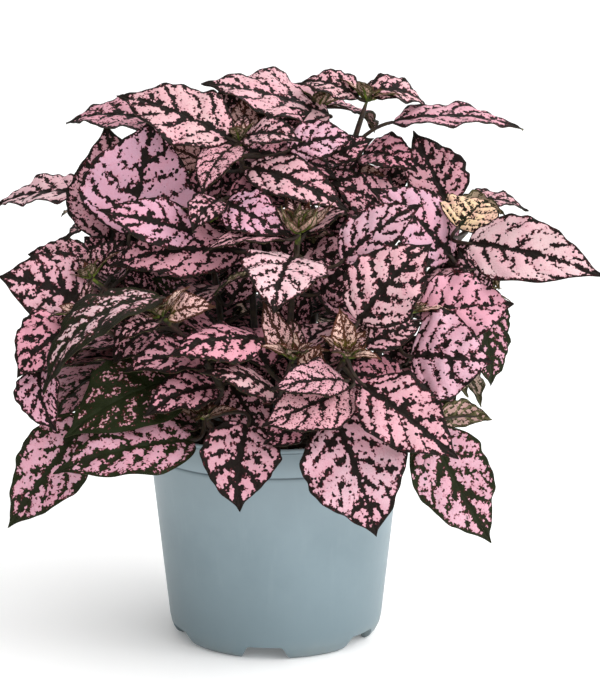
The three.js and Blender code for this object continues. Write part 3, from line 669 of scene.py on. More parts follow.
def put_down():
    """Leaves nothing selected, so that an operator acts only on what comes next."""
    if bpy.context.mode != "OBJECT":
        bpy.ops.object.mode_set(mode="OBJECT")
    bpy.ops.object.select_all(action="DESELECT")


def pick(piece):
    """Selects this piece alone."""
    put_down()
    piece.select_set(True)
    bpy.context.view_layer.objects.active = piece


def settled():
    """The active piece, with its place, turn and size made part of its mesh."""
    bpy.ops.object.transform_apply(location=True, rotation=True, scale=True)
    return bpy.context.object


def apply_all(piece):
    """Applies every modifier of the piece, in their order."""
    pick(piece)
    for modifier in list(piece.modifiers):
        bpy.ops.object.modifier_apply(modifier=modifier.name)


def choose(piece, parts, wanted):
    """Selects, of the corners, edges or faces of a piece, only the ones that are wanted."""
    pick(piece)
    for kind in (piece.data.vertices, piece.data.edges, piece.data.polygons):
        for part in kind:
            part.select = False
    for part in parts:
        part.select = wanted(part)


def corners_of(piece):
    """The places of a piece's corners, a row each."""
    places = np.empty(len(piece.data.vertices) * 3)
    piece.data.vertices.foreach_get("co", places)
    return places.reshape(-1, 3)


def set_corners(piece, places):
    piece.data.vertices.foreach_set("co", places.astype(np.float32).ravel())
    piece.data.update()


def write(piece, name, rows):
    """Keeps three numbers a corner on the piece, for its material to read."""
    kept = piece.data.attributes.new(name, "FLOAT_VECTOR", "POINT")
    kept.data.foreach_set("vector", np.asarray(rows, np.float32).ravel())


def copy_of(blank, name):
    """A copy with its own mesh."""
    made = blank.copy()
    made.data = blank.data.copy()
    made.name = made.data.name = name
    bpy.context.scene.collection.objects.link(made)
    return made


def joined(pieces, name):
    """The pieces as one piece, which takes the place of the first."""
    put_down()
    for piece in pieces:
        piece.select_set(True)
    bpy.context.view_layer.objects.active = pieces[0]
    bpy.ops.object.join()
    made = bpy.context.view_layer.objects.active
    made.name = made.data.name = name
    return made


def finished(piece, node):
    """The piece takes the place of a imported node."""
    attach(piece, "root")
    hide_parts(node)


def flat_blade(rows, columns):
    """A blade before it is bent: a thin slab 0 to 1 long, -1 to 1 wide and -1 to 1 thick."""
    put_down()
    bpy.ops.mesh.primitive_grid_add(x_subdivisions=rows, y_subdivisions=columns, size=2)
    blade = bpy.context.object
    bpy.ops.object.mode_set(mode="EDIT")
    bpy.ops.mesh.select_all(action="SELECT")
    bpy.ops.transform.translate(value=(1, 0, 0))
    bpy.ops.transform.resize(value=(0.5, 1, 1), center_override=(0, 0, 0))
    bpy.ops.object.mode_set(mode="OBJECT")
    slab = blade.modifiers.new("slab", "SOLIDIFY")
    slab.thickness = 2
    slab.offset = 0
    apply_all(blade)
    bpy.ops.object.shade_smooth_by_angle(angle=LEAF_CREASE)
    return blade


def straight_tube(rings, sides):
    """A closed tube before it is bent: one wide about the X axis, from 0 to 1."""
    put_down()
    bpy.ops.mesh.primitive_circle_add(
        vertices=sides, radius=1, fill_type="NGON", rotation=(0, math.pi / 2, 0)
    )
    tube = settled()
    bpy.ops.object.mode_set(mode="EDIT")
    bpy.ops.mesh.select_all(action="SELECT")
    for _ in range(rings):
        bpy.ops.mesh.extrude_region_move(TRANSFORM_OT_translate={"value": (1 / rings, 0, 0)})
    bpy.ops.mesh.select_all(action="SELECT")
    bpy.ops.mesh.normals_make_consistent(inside=False)
    bpy.ops.object.mode_set(mode="OBJECT")
    pick(tube)
    bpy.ops.object.shade_smooth_by_angle(angle=LEAF_CREASE)
    return tube


def lanes(u, v):
    """Which lateral vein a place lies by: whole numbers are on a vein."""
    sweep = u - 0.1 * np.abs(v) - 0.17 * v * v
    return sweep * VEIN_PAIRS + np.where(v > 0, 0.4, 0.0)


def edge_waves(waves, u, v, seed):
    """The sum of several waves along a blade."""
    turn = 2 * math.pi * u
    return sum(
        strength * np.sin(number * turn + by_seed * seed + np.where(v < 0, on_left, 0))
        for strength, number, by_seed, on_left in waves
    )


def relief_of(leaf):
    """How strongly a blade is quilted and grooved, at most 1."""
    return min(1.0, leaf.width / QUILTED_WIDTH)


def half_widths(leaf, u, v, frill):
    """The blade's half width at each place, with its drawn-in tip and scalloped edge."""
    half = leaf.width / 2 * half_share(u) * (1 - 0.3 * steps(0.8, 0.97, u))
    scallop = edge_waves(SCALLOP, u, v, leaf.seed) * steps(0.05, 0.3, u)
    half = half * (1 + (0.02 * frill + 0.028 * scallop) * v * v)
    return half + 0.1 + 0.3 * (1 - steps(0, 0.06, u))


def rises(leaf, u, v, frill, across, length):
    """How far the blade's middle layer stands out of the rib's plane at each place."""
    share = half_share(u)
    relief = relief_of(leaf)
    off = np.abs(lanes(u, v) % 1 - 0.5) * 2
    quilted = relief * (1 - off**2) * (1 - v**4) * np.sqrt(share)
    grooved = -0.7 * relief * np.exp(-((across / (1.4 * relief + 0.3)) ** 2)) * (1 - u)
    frilled = 0.6 * relief * frill * v**4
    twisted = across * math.sin(math.radians(7 * (leaf.seed - 0.5))) * (u - 0.4)
    curled = -0.03 * length * steps(0.7, 1, u) * (0.3 + chance(leaf.seed * 91))
    soft = np.sqrt(v * v + 0.02) - np.abs(v)
    folded = (leaf.rippled(u, v) + leaf.fold * soft) * share
    return folded + quilted + grooved + frilled + twisted + curled


def bent_blade(blank, leaf, name):
    """A copy of the flat blade, laid along the leaf's rib, waved and quilted, with a long tip."""
    blade = copy_of(blank, name)
    flat = corners_of(blade)
    u, v, side = flat[:, 0], -flat[:, 1], flat[:, 2]
    length = np.linalg.norm(leaf.tip - leaf.base)
    drawn = 1 + min(LONGEST_TIP, TIP_SHARE * length) / length
    place, _, out, right = leaf.rib(u * drawn)
    frill = edge_waves(FRILL, u, v, leaf.seed)
    half = half_widths(leaf, u, v, frill)
    across = v * half
    layer = side * BLADE / 2 * (YOUNG_BLADE_SHARE if leaf.young else 1)
    rise = rises(leaf, u, v, frill, across, length) + layer
    set_corners(blade, (place + right * across[:, None] + out * rise[:, None]) * MM)
    rows = np.ones((len(u), 1))
    lilac, rose, green, fine, cover = LOOKS[leaf.look]
    if not leaf.young:
        fine += 0.9 * max(0.0, 1 - length / FINE_LENGTH)
    write(blade, "place", np.stack([u, v, side], 1))
    write(blade, "reach", np.stack([rows[:, 0] * length, across, np.abs(half)], 1))
    write(blade, "look", rows * [lilac + 0.3 * (chance(leaf.seed * 57) - 0.5), green, fine])
    write(blade, "mood", rows * [rose + 0.3 * (chance(leaf.seed * 33) - 0.5), cover, leaf.seed])
    return blade


def laid_tube(tube, centres, ways, upper, radii, age):
    """Moves a straight tube on to a line of centres, and keeps how old it is for its material."""
    flat = corners_of(tube)
    ring = np.rint(flat[:, 0] * (len(centres) - 1)).astype(int)
    out = along(ways, np.broadcast_to(upper, ways.shape))
    right = np.cross(ways, out)
    wide = radii[ring][:, None]
    places = centres[ring] - right[ring] * flat[:, 1:2] * wide + out[ring] * flat[:, 2:3] * wide
    set_corners(tube, places * MM)
    write(tube, "age", np.stack([age[ring], flat[:, 0], flat[:, 2]], 1))
    return tube


def bent_petiole(blank, leaf, name):
    """A petiole from its stem to the blade, that runs on as the rib under the blade."""
    p = np.linspace(0, 1, PETIOLE_RINGS + 1)
    _, way, out, _ = leaf.rib([0])
    reach = np.linalg.norm(leaf.base - leaf.root)
    stalk = Route(leaf.root, leaf.base - way[0] * reach * 0.45, leaf.base)
    free = np.clip(p / PETIOLE_FREE, 0, 1)
    rib = np.clip((p - PETIOLE_FREE) / (1 - PETIOLE_FREE), 0, 1) * RIB_END
    place, ahead, under, _ = leaf.rib(rib)
    relief = relief_of(leaf)
    thick = YOUNG_PETIOLE_RADIUS if leaf.young else PETIOLE_RADIUS
    radii = thick * np.interp(p, *PETIOLE_TAPER)
    on_rib = place - under * (0.7 * relief * (1 - rib) + 0.55 * radii)[:, None]
    is_free = (p <= PETIOLE_FREE)[:, None]
    centres = np.where(is_free, stalk.point(free), on_rib)
    ways = np.where(is_free, stalk.heading(free), ahead)
    age = np.full(len(p), 1.0 if leaf.young else 0.5)
    return laid_tube(copy_of(blank, name), centres, ways, out[0], radii, age)


def bent_stem(blank, route, name, browning):
    """A stem that stands in the soil, rises and leans out to its tip, thicker at its joints."""
    below = STEM_RINGS_BELOW
    t = np.linspace(0, 1, STEM_RINGS + 1 - below)
    low = np.linspace(SOIL_TOP - STEM_BELOW, SOIL_TOP + STEM_RISE, below, endpoint=False)
    foot = np.array([[*route.point(0)[:2], z] for z in low])
    centres = np.vstack([foot, route.point(t)])
    ways = np.vstack([np.tile(UP, (below, 1)), route.heading(t)])
    ways[below] = unit(ways[below] + UP)
    all_t = np.concatenate([np.zeros(below), t])
    joints = sum(np.exp(-(((all_t - place) / 0.025) ** 2)) for place in STEM_JOINTS)
    radii = STEM_FOOT_RADIUS + (STEM_TIP_RADIUS - STEM_FOOT_RADIUS) * all_t
    radii = radii * (1 + 0.22 * joints)
    radii[-1] *= 0.5
    facing = np.array([0.0, -1.0, 0.05])
    age = 1 - (1 - all_t) * browning
    return laid_tube(copy_of(blank, name), centres, ways, facing, radii, age)


def on_blade(leaf, u, v):
    """Places on the blade's middle layer, without its finer relief."""
    place, _, out, right = leaf.rib(u)
    share = half_share(u)
    across = v * leaf.width / 2 * share
    return place + right * across[:, None] + out * (leaf.rippled(u, v) * share)[:, None]


def sampled(leaf):
    """Places all over a blade, by which it is kept clear of others."""
    u, v = [grid.ravel() for grid in np.meshgrid(np.linspace(0.08, 1, 10), np.linspace(-1, 1, 7))]
    return on_blade(leaf, u, v).astype(np.float32)


def inner_leaf(route, draw):
    """A smaller leaf from anywhere up a stem, which fills the shade inside the plant."""
    place = 0.15 + 0.8 * chance(draw)
    root = route.point(place)
    heading = 2 * math.pi * chance(draw + 0.15)
    flat = np.array([math.cos(heading), math.sin(heading), 0])
    lift = math.radians(-22 + 50 * chance(draw + 0.3))
    size = 26 + 18 * chance(draw + 0.45)
    base = root + flat * 7 + UP * 3
    tip = base + (flat * math.cos(lift) + UP * math.sin(lift)) * size
    look = INNER_LOOKS[int(len(INNER_LOOKS) * chance(draw + 0.6))]
    face = unit(UP + 0.5 * flat * math.sin(lift) + np.array([0, -0.35, 0]))
    width = size * INNER_WIDTH_SHARE
    return Leaf(root, base, tip, width, face, size * 0.08, 2, draw, "pair", look)


def is_inside(leaf):
    """True where a leaf's tip is well behind the foliage's outer leaves."""
    in_dome = np.sum(((leaf.tip - INNER_MIDDLE) / INNER_RADII) ** 2) < 1
    front = INNER_FRONT + INNER_FRONT_SLOPE * (leaf.tip[2] - POT_HEIGHT)
    return in_dome and leaf.tip[1] > front and leaf.tip[2] > INNER_LOWEST


def closing_leaf(routes, way, near, look, draw):
    """The largest leaf across a line of sight that stays clear, and the stem nearest to it."""
    right = unit(np.cross(way, UP))
    up = np.cross(right, way)
    for length, away, turn in product(CLOSING_LENGTHS, CLOSING_PLACES, CLOSING_TURNS):
        aim = right * math.cos(math.radians(turn)) + up * math.sin(math.radians(turn))
        middle = EYE + way * away
        base, tip = middle - aim * length / 2, middle + aim * length / 2
        roots = {node: rooted(route, base, tip) for node, route in routes.items()}
        node = min(roots, key=lambda name: np.linalg.norm(roots[name] - base))
        face = unit(UP * 0.4 - way)
        width = length * INNER_WIDTH_SHARE
        leaf = Leaf(roots[node], base, tip, width, face, 1, 1, draw, "pair", look)
        if gap(leaf, near) > SHADE_GAP:
            return node, leaf
    return None, None


def gap(leaf, places):
    """The least distance from a blade to the places."""
    return np.linalg.norm(places[:, None] - sampled(leaf)[None], axis=2).min(initial=math.inf)


def added_leaves(routes, leaves):
    """Adds shade, inner and closing leaves to the stems, clear of what is there."""
    taken = np.vstack([sampled(leaf) for found in leaves.values() for leaf in found])

    def is_added(node, leaf, least):
        nonlocal taken
        points = sampled(leaf)
        close = taken[np.linalg.norm(taken - points.mean(axis=0), axis=1) < LEAF_REACH]
        if gap(leaf, close) < least:
            return False
        taken = np.vstack([taken, points])
        leaves[node].append(leaf)
        return True

    for order, (node, base, tip, width, face, look) in enumerate(SHADE_LEAVES):
        root = rooted(routes[node], base, tip)
        number = FIRST_NUMBER["shade"] + order
        leaf = Leaf(root, base, tip, width, face, SHADE_ARCH, 2, number, "pair", look)
        for bend in SMALL_BENDS:
            if is_added(node, leaf.bent(bend), SHADE_GAP):
                break

    stalks = [route.point(np.linspace(0, 1, 60)) for route in routes.values()]
    for leaf in [leaf for found in leaves.values() for leaf in found]:
        stalks.append([leaf.root + (leaf.base - leaf.root) * t for t in (0.3, 0.6, 0.9)])
    taken = np.vstack([taken, *stalks]).astype(np.float32)

    for order, node in enumerate(STEMS):
        for k in range(INNER_TRIES):
            leaf = inner_leaf(routes[node], FIRST_NUMBER["inner"] + order * 100 + k)
            leaf.is_inner = True
            if is_inside(leaf):
                is_added(node, leaf, INNER_GAP)

    for order, (x, z, look) in enumerate(CLOSED_SIGHTS):
        way = unit(np.array([x, 0, z]) - EYE)
        from_eye = taken - EYE
        beside = np.linalg.norm(from_eye - np.outer(from_eye @ way, way), axis=1)
        near = taken[beside < SIGHT_REACH]
        node, leaf = closing_leaf(routes, way, near, look, FIRST_NUMBER["closing"] + order)
        if leaf:
            taken = np.vstack([taken, sampled(leaf)])
            leaves[node].append(leaf)
            leaf.is_inner = True


def bud_leaves(node, route, turn, order):
    """The smallest leaves, which open in a star or stand in a cup round a stem's tip."""
    made = []
    for k, (size, rise) in enumerate(BUD_STAR):
        for side in (0, 1):
            number = FIRST_NUMBER["bud"] + order * 10 + k * 2 + side
            made.append(young_leaf(route, turn + 90 * (k + 1), side, number, size, rise, "bud"))
            made[-1].width *= BUD_STAR_SHARE
    if node == CUP_STEM:
        lower = route.point(CUP_PLACE) - route.point(1)
        made = made[STAR_LEAVES_LOST:]
        for k in range(CUP_LEAVES):
            size, rise = 20 - 0.5 * k, 34 + 3.4 * k
            number = FIRST_NUMBER["cup"] + k
            leaf = young_leaf(route, turn + CUP_TURN * k, 0, number, size, rise, "bud")
            leaf.width *= CUP_SHARE
            leaf.arch = CUP_ARCH
            leaf.root, leaf.base, leaf.tip = leaf.root + lower, leaf.base + lower, leaf.tip + lower
            made.append(leaf)
    return made


def leafy_stems():
    """Every stem with its petioles, leaves and young tip, each as one piece."""
    blades = {kind: flat_blade(*cuts) for kind, cuts in BLADE_CUTS.items()}
    stem_tube = straight_tube(STEM_RINGS, STEM_SIDES)
    petiole_tube = straight_tube(PETIOLE_RINGS, PETIOLE_SIDES)
    leaf_paint, stem_paint = leaf_finish(), stem_finish()
    for blade in blades.values():
        blade.data.materials.append(leaf_paint)
    for tube in (stem_tube, petiole_tube):
        tube.data.materials.append(stem_paint)
    routes, leaves = leaves_of_all()
    added_leaves(routes, leaves)
    for order, (node, (_, _, turn)) in enumerate(STEMS.items()):
        route = routes[node]
        parts = [bent_stem(stem_tube, route, node + "_shoot", BROWNING.get(node, 1.0))]
        for leaf in leaves[node] + bud_leaves(node, route, turn, order):
            kind = "big" if leaf.width > BIG_WIDTH else "small"
            kind = "young" if leaf.young else "inner" if leaf.is_inner else kind
            name = f"{node}_{len(parts)}"
            parts.append(bent_blade(blades[kind], leaf, name))
            parts.append(bent_petiole(petiole_tube, leaf, name + "_petiole"))
        finished(joined(parts, node.replace("stem_", "leafy_stem_")), node)
    for blank in (*blades.values(), stem_tube, petiole_tube):
        bpy.data.objects.remove(blank)


def turned(name, profile, sides):
    """A closed turned shell: a ring drawn through a profile that starts and ends on flat discs."""
    put_down()
    radius, height = profile[0]
    bpy.ops.mesh.primitive_circle_add(
        vertices=sides, radius=radius * MM, location=(0, 0, height * MM), fill_type="NGON"
    )
    piece = settled()
    piece.name = piece.data.name = name
    bpy.ops.object.mode_set(mode="EDIT")
    bpy.ops.mesh.select_mode(type="EDGE")
    bpy.ops.mesh.select_all(action="SELECT")
    for (r0, z0), (r1, z1) in zip(profile, profile[1:]):
        bpy.ops.mesh.extrude_edges_move(
            TRANSFORM_OT_translate={"value": (0, 0, (z1 - z0) * MM)}
        )
        bpy.ops.transform.resize(
            value=(r1 / r0, r1 / r0, 1), center_override=(0, 0, z1 * MM)
        )
    bpy.ops.mesh.edge_face_add()
    bpy.ops.mesh.select_all(action="SELECT")
    bpy.ops.mesh.normals_make_consistent(inside=False)
    bpy.ops.object.mode_set(mode="OBJECT")
    return piece


def pot_profile():
    """The pot's section, from the underside of its floor, up its outside and down its inside."""
    def round_about(radius, height, offsets):
        return [(radius + out, height + up) for out, up in offsets]

    band = POT_HEIGHT - RIM_BAND
    under = round_about(FOOT_INNER_RADIUS, FLOOR_UNDER, [(-3, 0), (-0.6, 0), (0, -0.6)])
    ring = round_about(FOOT_INNER_RADIUS, 0, [(0, 0.4), (0.4, 0)])
    foot = round_about(FOOT_RADIUS, 0, [(-0.5, 0), (0, 0.4), (1.1, 1), (2.1, 1.8), (2.9, 2.8)])
    flank = [(50, 4), (50.5, 5), (50.9, 6), (51.15, 7.5), (WALL_FOOT_RADIUS, WALL_FOOT)]
    slope = (RIM_FOOT_RADIUS - 0.7 - WALL_FOOT_RADIUS) / (band - WALL_FOOT)
    wall = [(WALL_FOOT_RADIUS + slope * (z - WALL_FOOT), z) for z in (30, 50, 70, 88)]
    groove = [(-0.9, -1.1), (-1.25, -0.45), (-1.15, 0), (-0.2, 0.1), (0, 0.5), (0.25, 5)]
    rim = [
        (-0.15, -2.2), (-0.45, -2.0), (-0.45, -1.8), (0, -1.5), (0, -0.6), (-0.2, -0.2),
        (-0.6, 0), (0.2 - WALL, 0), (-0.1 - WALL, -0.3),
    ]
    inside = round_about(RIM_FOOT_RADIUS - WALL, band, [(-0.6, -0.8), (-0.8, -1.2)])
    low = round_about(WALL_FOOT_RADIUS - WALL, FLOOR_TOP, [(0, 2.5), (-0.5, 0.9), (-1.6, 0)])
    outside = under + ring + foot + flank + wall + round_about(RIM_FOOT_RADIUS, band, groove)
    return outside + round_about(RIM_RADIUS, POT_HEIGHT, rim) + inside + low + [(20, FLOOR_TOP)]


def notch_cutter(turn):
    """A wedge across the foot ring whose sides open towards the ground."""
    put_down()
    height = NOTCH_HEIGHT + 1
    bpy.ops.mesh.primitive_cube_add(
        size=1,
        location=(0, -NOTCH_MIDDLE * MM, (height / 2 - 1) * MM),
        scale=(2 * NOTCH_HALF_TOP * MM, NOTCH_DEPTH * MM, height * MM),
    )
    cutter = settled()
    choose(cutter, cutter.data.vertices, lambda corner: corner.co.z < 0)
    bpy.ops.object.mode_set(mode="EDIT")
    bpy.ops.mesh.select_mode(type="VERT")
    bpy.ops.transform.resize(
        value=(NOTCH_HALF_FOOT / NOTCH_HALF_TOP, 1, 1), center_override=(0, 0, 0)
    )
    bpy.ops.object.mode_set(mode="OBJECT")
    corner = cutter.data.vertices
    choose(
        cutter,
        cutter.data.edges,
        lambda edge: all(corner[i].co.z > 0 for i in edge.vertices)
        and corner[edge.vertices[0]].co.x * corner[edge.vertices[1]].co.x > 0,
    )
    bpy.ops.object.mode_set(mode="EDIT")
    bpy.ops.mesh.select_mode(type="EDGE")
    bpy.ops.mesh.bevel(offset=NOTCH_CORNER * MM, segments=4)
    bpy.ops.object.mode_set(mode="OBJECT")
    cutter.rotation_euler.z = turn
    pick(cutter)
    return settled()


def drain_cutter(turn):
    """A plug through the pot's floor, inside a notch."""
    put_down()
    spot = Vector((DRAIN_CIRCLE * math.sin(turn), -DRAIN_CIRCLE * math.cos(turn), FLOOR_TOP)) * MM
    bpy.ops.mesh.primitive_cylinder_add(
        vertices=24, radius=DRAIN_RADIUS * MM, depth=10 * MM, location=spot
    )
    return settled()


def nursery_pot():
    """The moulded pot: a turned shell, cut by notches and drain holes, with its edges eased."""
    pot = turned("nursery_pot", pot_profile(), POT_SIDES)
    cutters = []
    for k in range(NOTCHES):
        turn = math.radians(NOTCH_TURN + 360 / NOTCHES * k)
        cutters += [notch_cutter(turn), drain_cutter(turn)]
    cutters = joined(cutters, "cutters")
    cut = pot.modifiers.new("notches", "BOOLEAN")
    cut.operation = "DIFFERENCE"
    cut.solver = "EXACT"
    cut.object = cutters
    eased = pot.modifiers.new("eased edges", "BEVEL")
    eased.width = POT_EASING * MM
    eased.segments = 2
    eased.limit_method = "ANGLE"
    eased.angle_limit = math.radians(50)
    apply_all(pot)
    bpy.data.objects.remove(cutters)
    pick(pot)
    bpy.ops.object.shade_smooth_by_angle(angle=POT_CREASE)
    pot.data.materials.append(pot_finish())
    finished(pot, "pot")


def peat():
    """The soil plug, with an uneven top and crumbs of peat on it."""
    low = WALL_FOOT_RADIUS - WALL - 0.4
    side = [(low - 2.2, FLOOR_TOP + 0.4), (low, FLOOR_TOP + 3), (SOIL_RADIUS, SOIL_TOP - 1)]
    top = [(SOIL_RADIUS - 0.6 - k * SOIL_RING, SOIL_TOP) for k in range(SOIL_RINGS)]
    plug = turned("peat_plug", side + top, SOIL_SIDES)
    places = corners_of(plug) / MM
    level = places[:, 2] > SOIL_TOP - 0.5
    x, y = places[:, 0], places[:, 1]
    heaps = np.sin(x * 0.31) * np.cos(y * 0.37 + 1) + np.sin(y * 0.83)
    heaps = heaps + 0.5 * np.sin(x * 1.7 + y * 1.3)
    rough = np.array([chance(i * 1.37) for i in range(len(places))]) - 0.5
    places[level, 2] += (0.55 * heaps + 1.1 * rough)[level]
    set_corners(plug, places * MM)
    crumbs = [plug]
    put_down()
    bpy.ops.mesh.primitive_ico_sphere_add(subdivisions=2, radius=1)
    crumb = bpy.context.object
    ball = corners_of(crumb)
    for k in range(CRUMBS):
        turn, out = 2 * math.pi * chance(k + 0.1), (SOIL_RADIUS - 4) * math.sqrt(chance(k + 0.2))
        size = 0.7 + 2.2 * chance(k + 0.3) ** 2
        lumps = np.array([0.75 + 0.5 * chance(k * 7 + i * 0.61) for i in range(len(ball))])
        shape = ball * lumps[:, None] * size * [1, 0.6 + 0.6 * chance(k + 0.4), 0.6]
        spot = [out * math.cos(turn), out * math.sin(turn), SOIL_TOP + 0.3 + size * 0.2]
        made = copy_of(crumb, "crumb")
        set_corners(made, (shape + spot) * MM)
        crumbs.append(made)
    bpy.data.objects.remove(crumb)
    soil = joined(crumbs, "peat")
    soil.data.materials.append(peat_finish())
    finished(soil, "soil")


def arithmetic(operation, number_first=False):
    """A method that adds a Math node of this operation to a material."""
    def method(self, *others):
        terms = (*others, self) if number_first else (self, *others)
        return self.finish.node("ShaderNodeMath", {"operation": operation}, dict(enumerate(terms)))

    return method


class Value:
    """A socket of a material's node. Arithmetic on it adds Math nodes to the material."""

    def __init__(self, finish, socket):
        self.finish = finish
        self.socket = socket

    __add__ = arithmetic("ADD")
    __radd__ = arithmetic("ADD", number_first=True)
    __sub__ = arithmetic("SUBTRACT")
    __rsub__ = arithmetic("SUBTRACT", number_first=True)
    __mul__ = arithmetic("MULTIPLY")
    __truediv__ = arithmetic("DIVIDE")
    __rtruediv__ = arithmetic("DIVIDE", number_first=True)
    __mod__ = arithmetic("FLOORED_MODULO")
    __gt__ = arithmetic("GREATER_THAN")
    __abs__ = arithmetic("ABSOLUTE")
    least = arithmetic("MINIMUM")
    most = arithmetic("MAXIMUM")


class Finish:
    """The nodes of a material, or of the studio's light, in the making."""

    def __init__(self, name, kind="materials"):
        self.owner = getattr(bpy.data, kind).new(name)
        self.owner.use_nodes = True
        self.nodes = self.owner.node_tree.nodes
        self.links = self.owner.node_tree.links
        self.nodes.clear()

    def node(self, kind, settings, sockets, output=0):
        """Adds a node: its settings come first, then the values or links of its sockets."""
        made = self.nodes.new(kind)
        for name, value in settings.items():
            if name == "stops":
                for stop, (place, colour) in zip(made.color_ramp.elements, value):
                    stop.position, stop.color = place, colour
            else:
                setattr(made, name, value)
        for name, value in sockets.items():
            socket = self.found(made.inputs, name)
            if isinstance(value, Value):
                self.links.new(value.socket, socket)
            else:
                socket.default_value = value
        return Value(self, self.found(made.outputs, output)) if made.outputs else None

    def found(self, sockets, name):
        """A socket by its identifier, its name or its number."""
        by_identifier = {socket.identifier: socket for socket in sockets}
        return by_identifier[name] if name in by_identifier else sockets[name]

    def kept(self, name):
        """The three numbers that the piece keeps under a name."""
        settings = {"attribute_type": "GEOMETRY", "attribute_name": name}
        return self.parts(self.node("ShaderNodeAttribute", settings, {}, "Vector"))

    def place(self, kind="Object"):
        """Where a point lies on its object, or which way it is seen in the world."""
        return self.node("ShaderNodeTexCoord", {}, {}, kind)

    def parts(self, vector, axes=(0, 1, 2)):
        return [self.node("ShaderNodeSeparateXYZ", {}, {0: vector}, axis) for axis in axes]

    def joined(self, x, y, z):
        return self.node("ShaderNodeCombineXYZ", {}, {"X": x, "Y": y, "Z": z})

    def noise(self, place, scale, detail=2.0, roughness=0.5):
        sockets = {"Vector": place, "Scale": scale, "Detail": detail, "Roughness": roughness}
        return self.node("ShaderNodeTexNoise", {}, sockets)

    def cells(self, place, scale, output, feature="F1"):
        """Cells round scattered points: how far a place is from one, or what its cell has."""
        sockets = {"Vector": place, "Scale": scale}
        return self.node("ShaderNodeTexVoronoi", {"feature": feature}, sockets, output)

    def red(self, colour):
        return self.node("ShaderNodeSeparateColor", {}, {0: colour}, "Red")

    def step(self, value, low, high):
        """0 below low and 1 above high, and smooth between them."""
        sockets = {"Value": value, "From Min": low, "From Max": high}
        return self.node("ShaderNodeMapRange", {"interpolation_type": "SMOOTHSTEP"}, sockets)

    def blend(self, share, first, second, way="MIX"):
        settings = {"data_type": "RGBA", "blend_type": way, "clamp_factor": True}
        sockets = {"Factor_Float": share, "A_Color": first, "B_Color": second}
        return self.node("ShaderNodeMix", settings, sockets, "Result_Color")

    def bump(self, height, depth, strength=1.0):
        sockets = {"Height": height, "Distance": depth * MM, "Strength": strength}
        return self.node("ShaderNodeBump", {}, sockets)

    def done(self, colour, roughness, normal, gloss=0.5, extra=()):
        sockets = {
            "Base Color": colour,
            "Roughness": roughness,
            "Normal": normal,
            "Specular IOR Level": gloss,
            **dict(extra),
        }
        shader = self.node("ShaderNodeBsdfPrincipled", {}, sockets)
        self.node("ShaderNodeOutputMaterial", {}, {"Surface": shader})
        return self.owner


def rgb(red, green, blue):
    """A colour as it is seen on a screen, 0 to 255, as the light that a material gives back."""
    def light(x):
        x /= 255
        return x / 12.92 if x <= 0.04045 else ((x + 0.055) / 1.055) ** 2.4

    return (light(red), light(green), light(blue), 1)


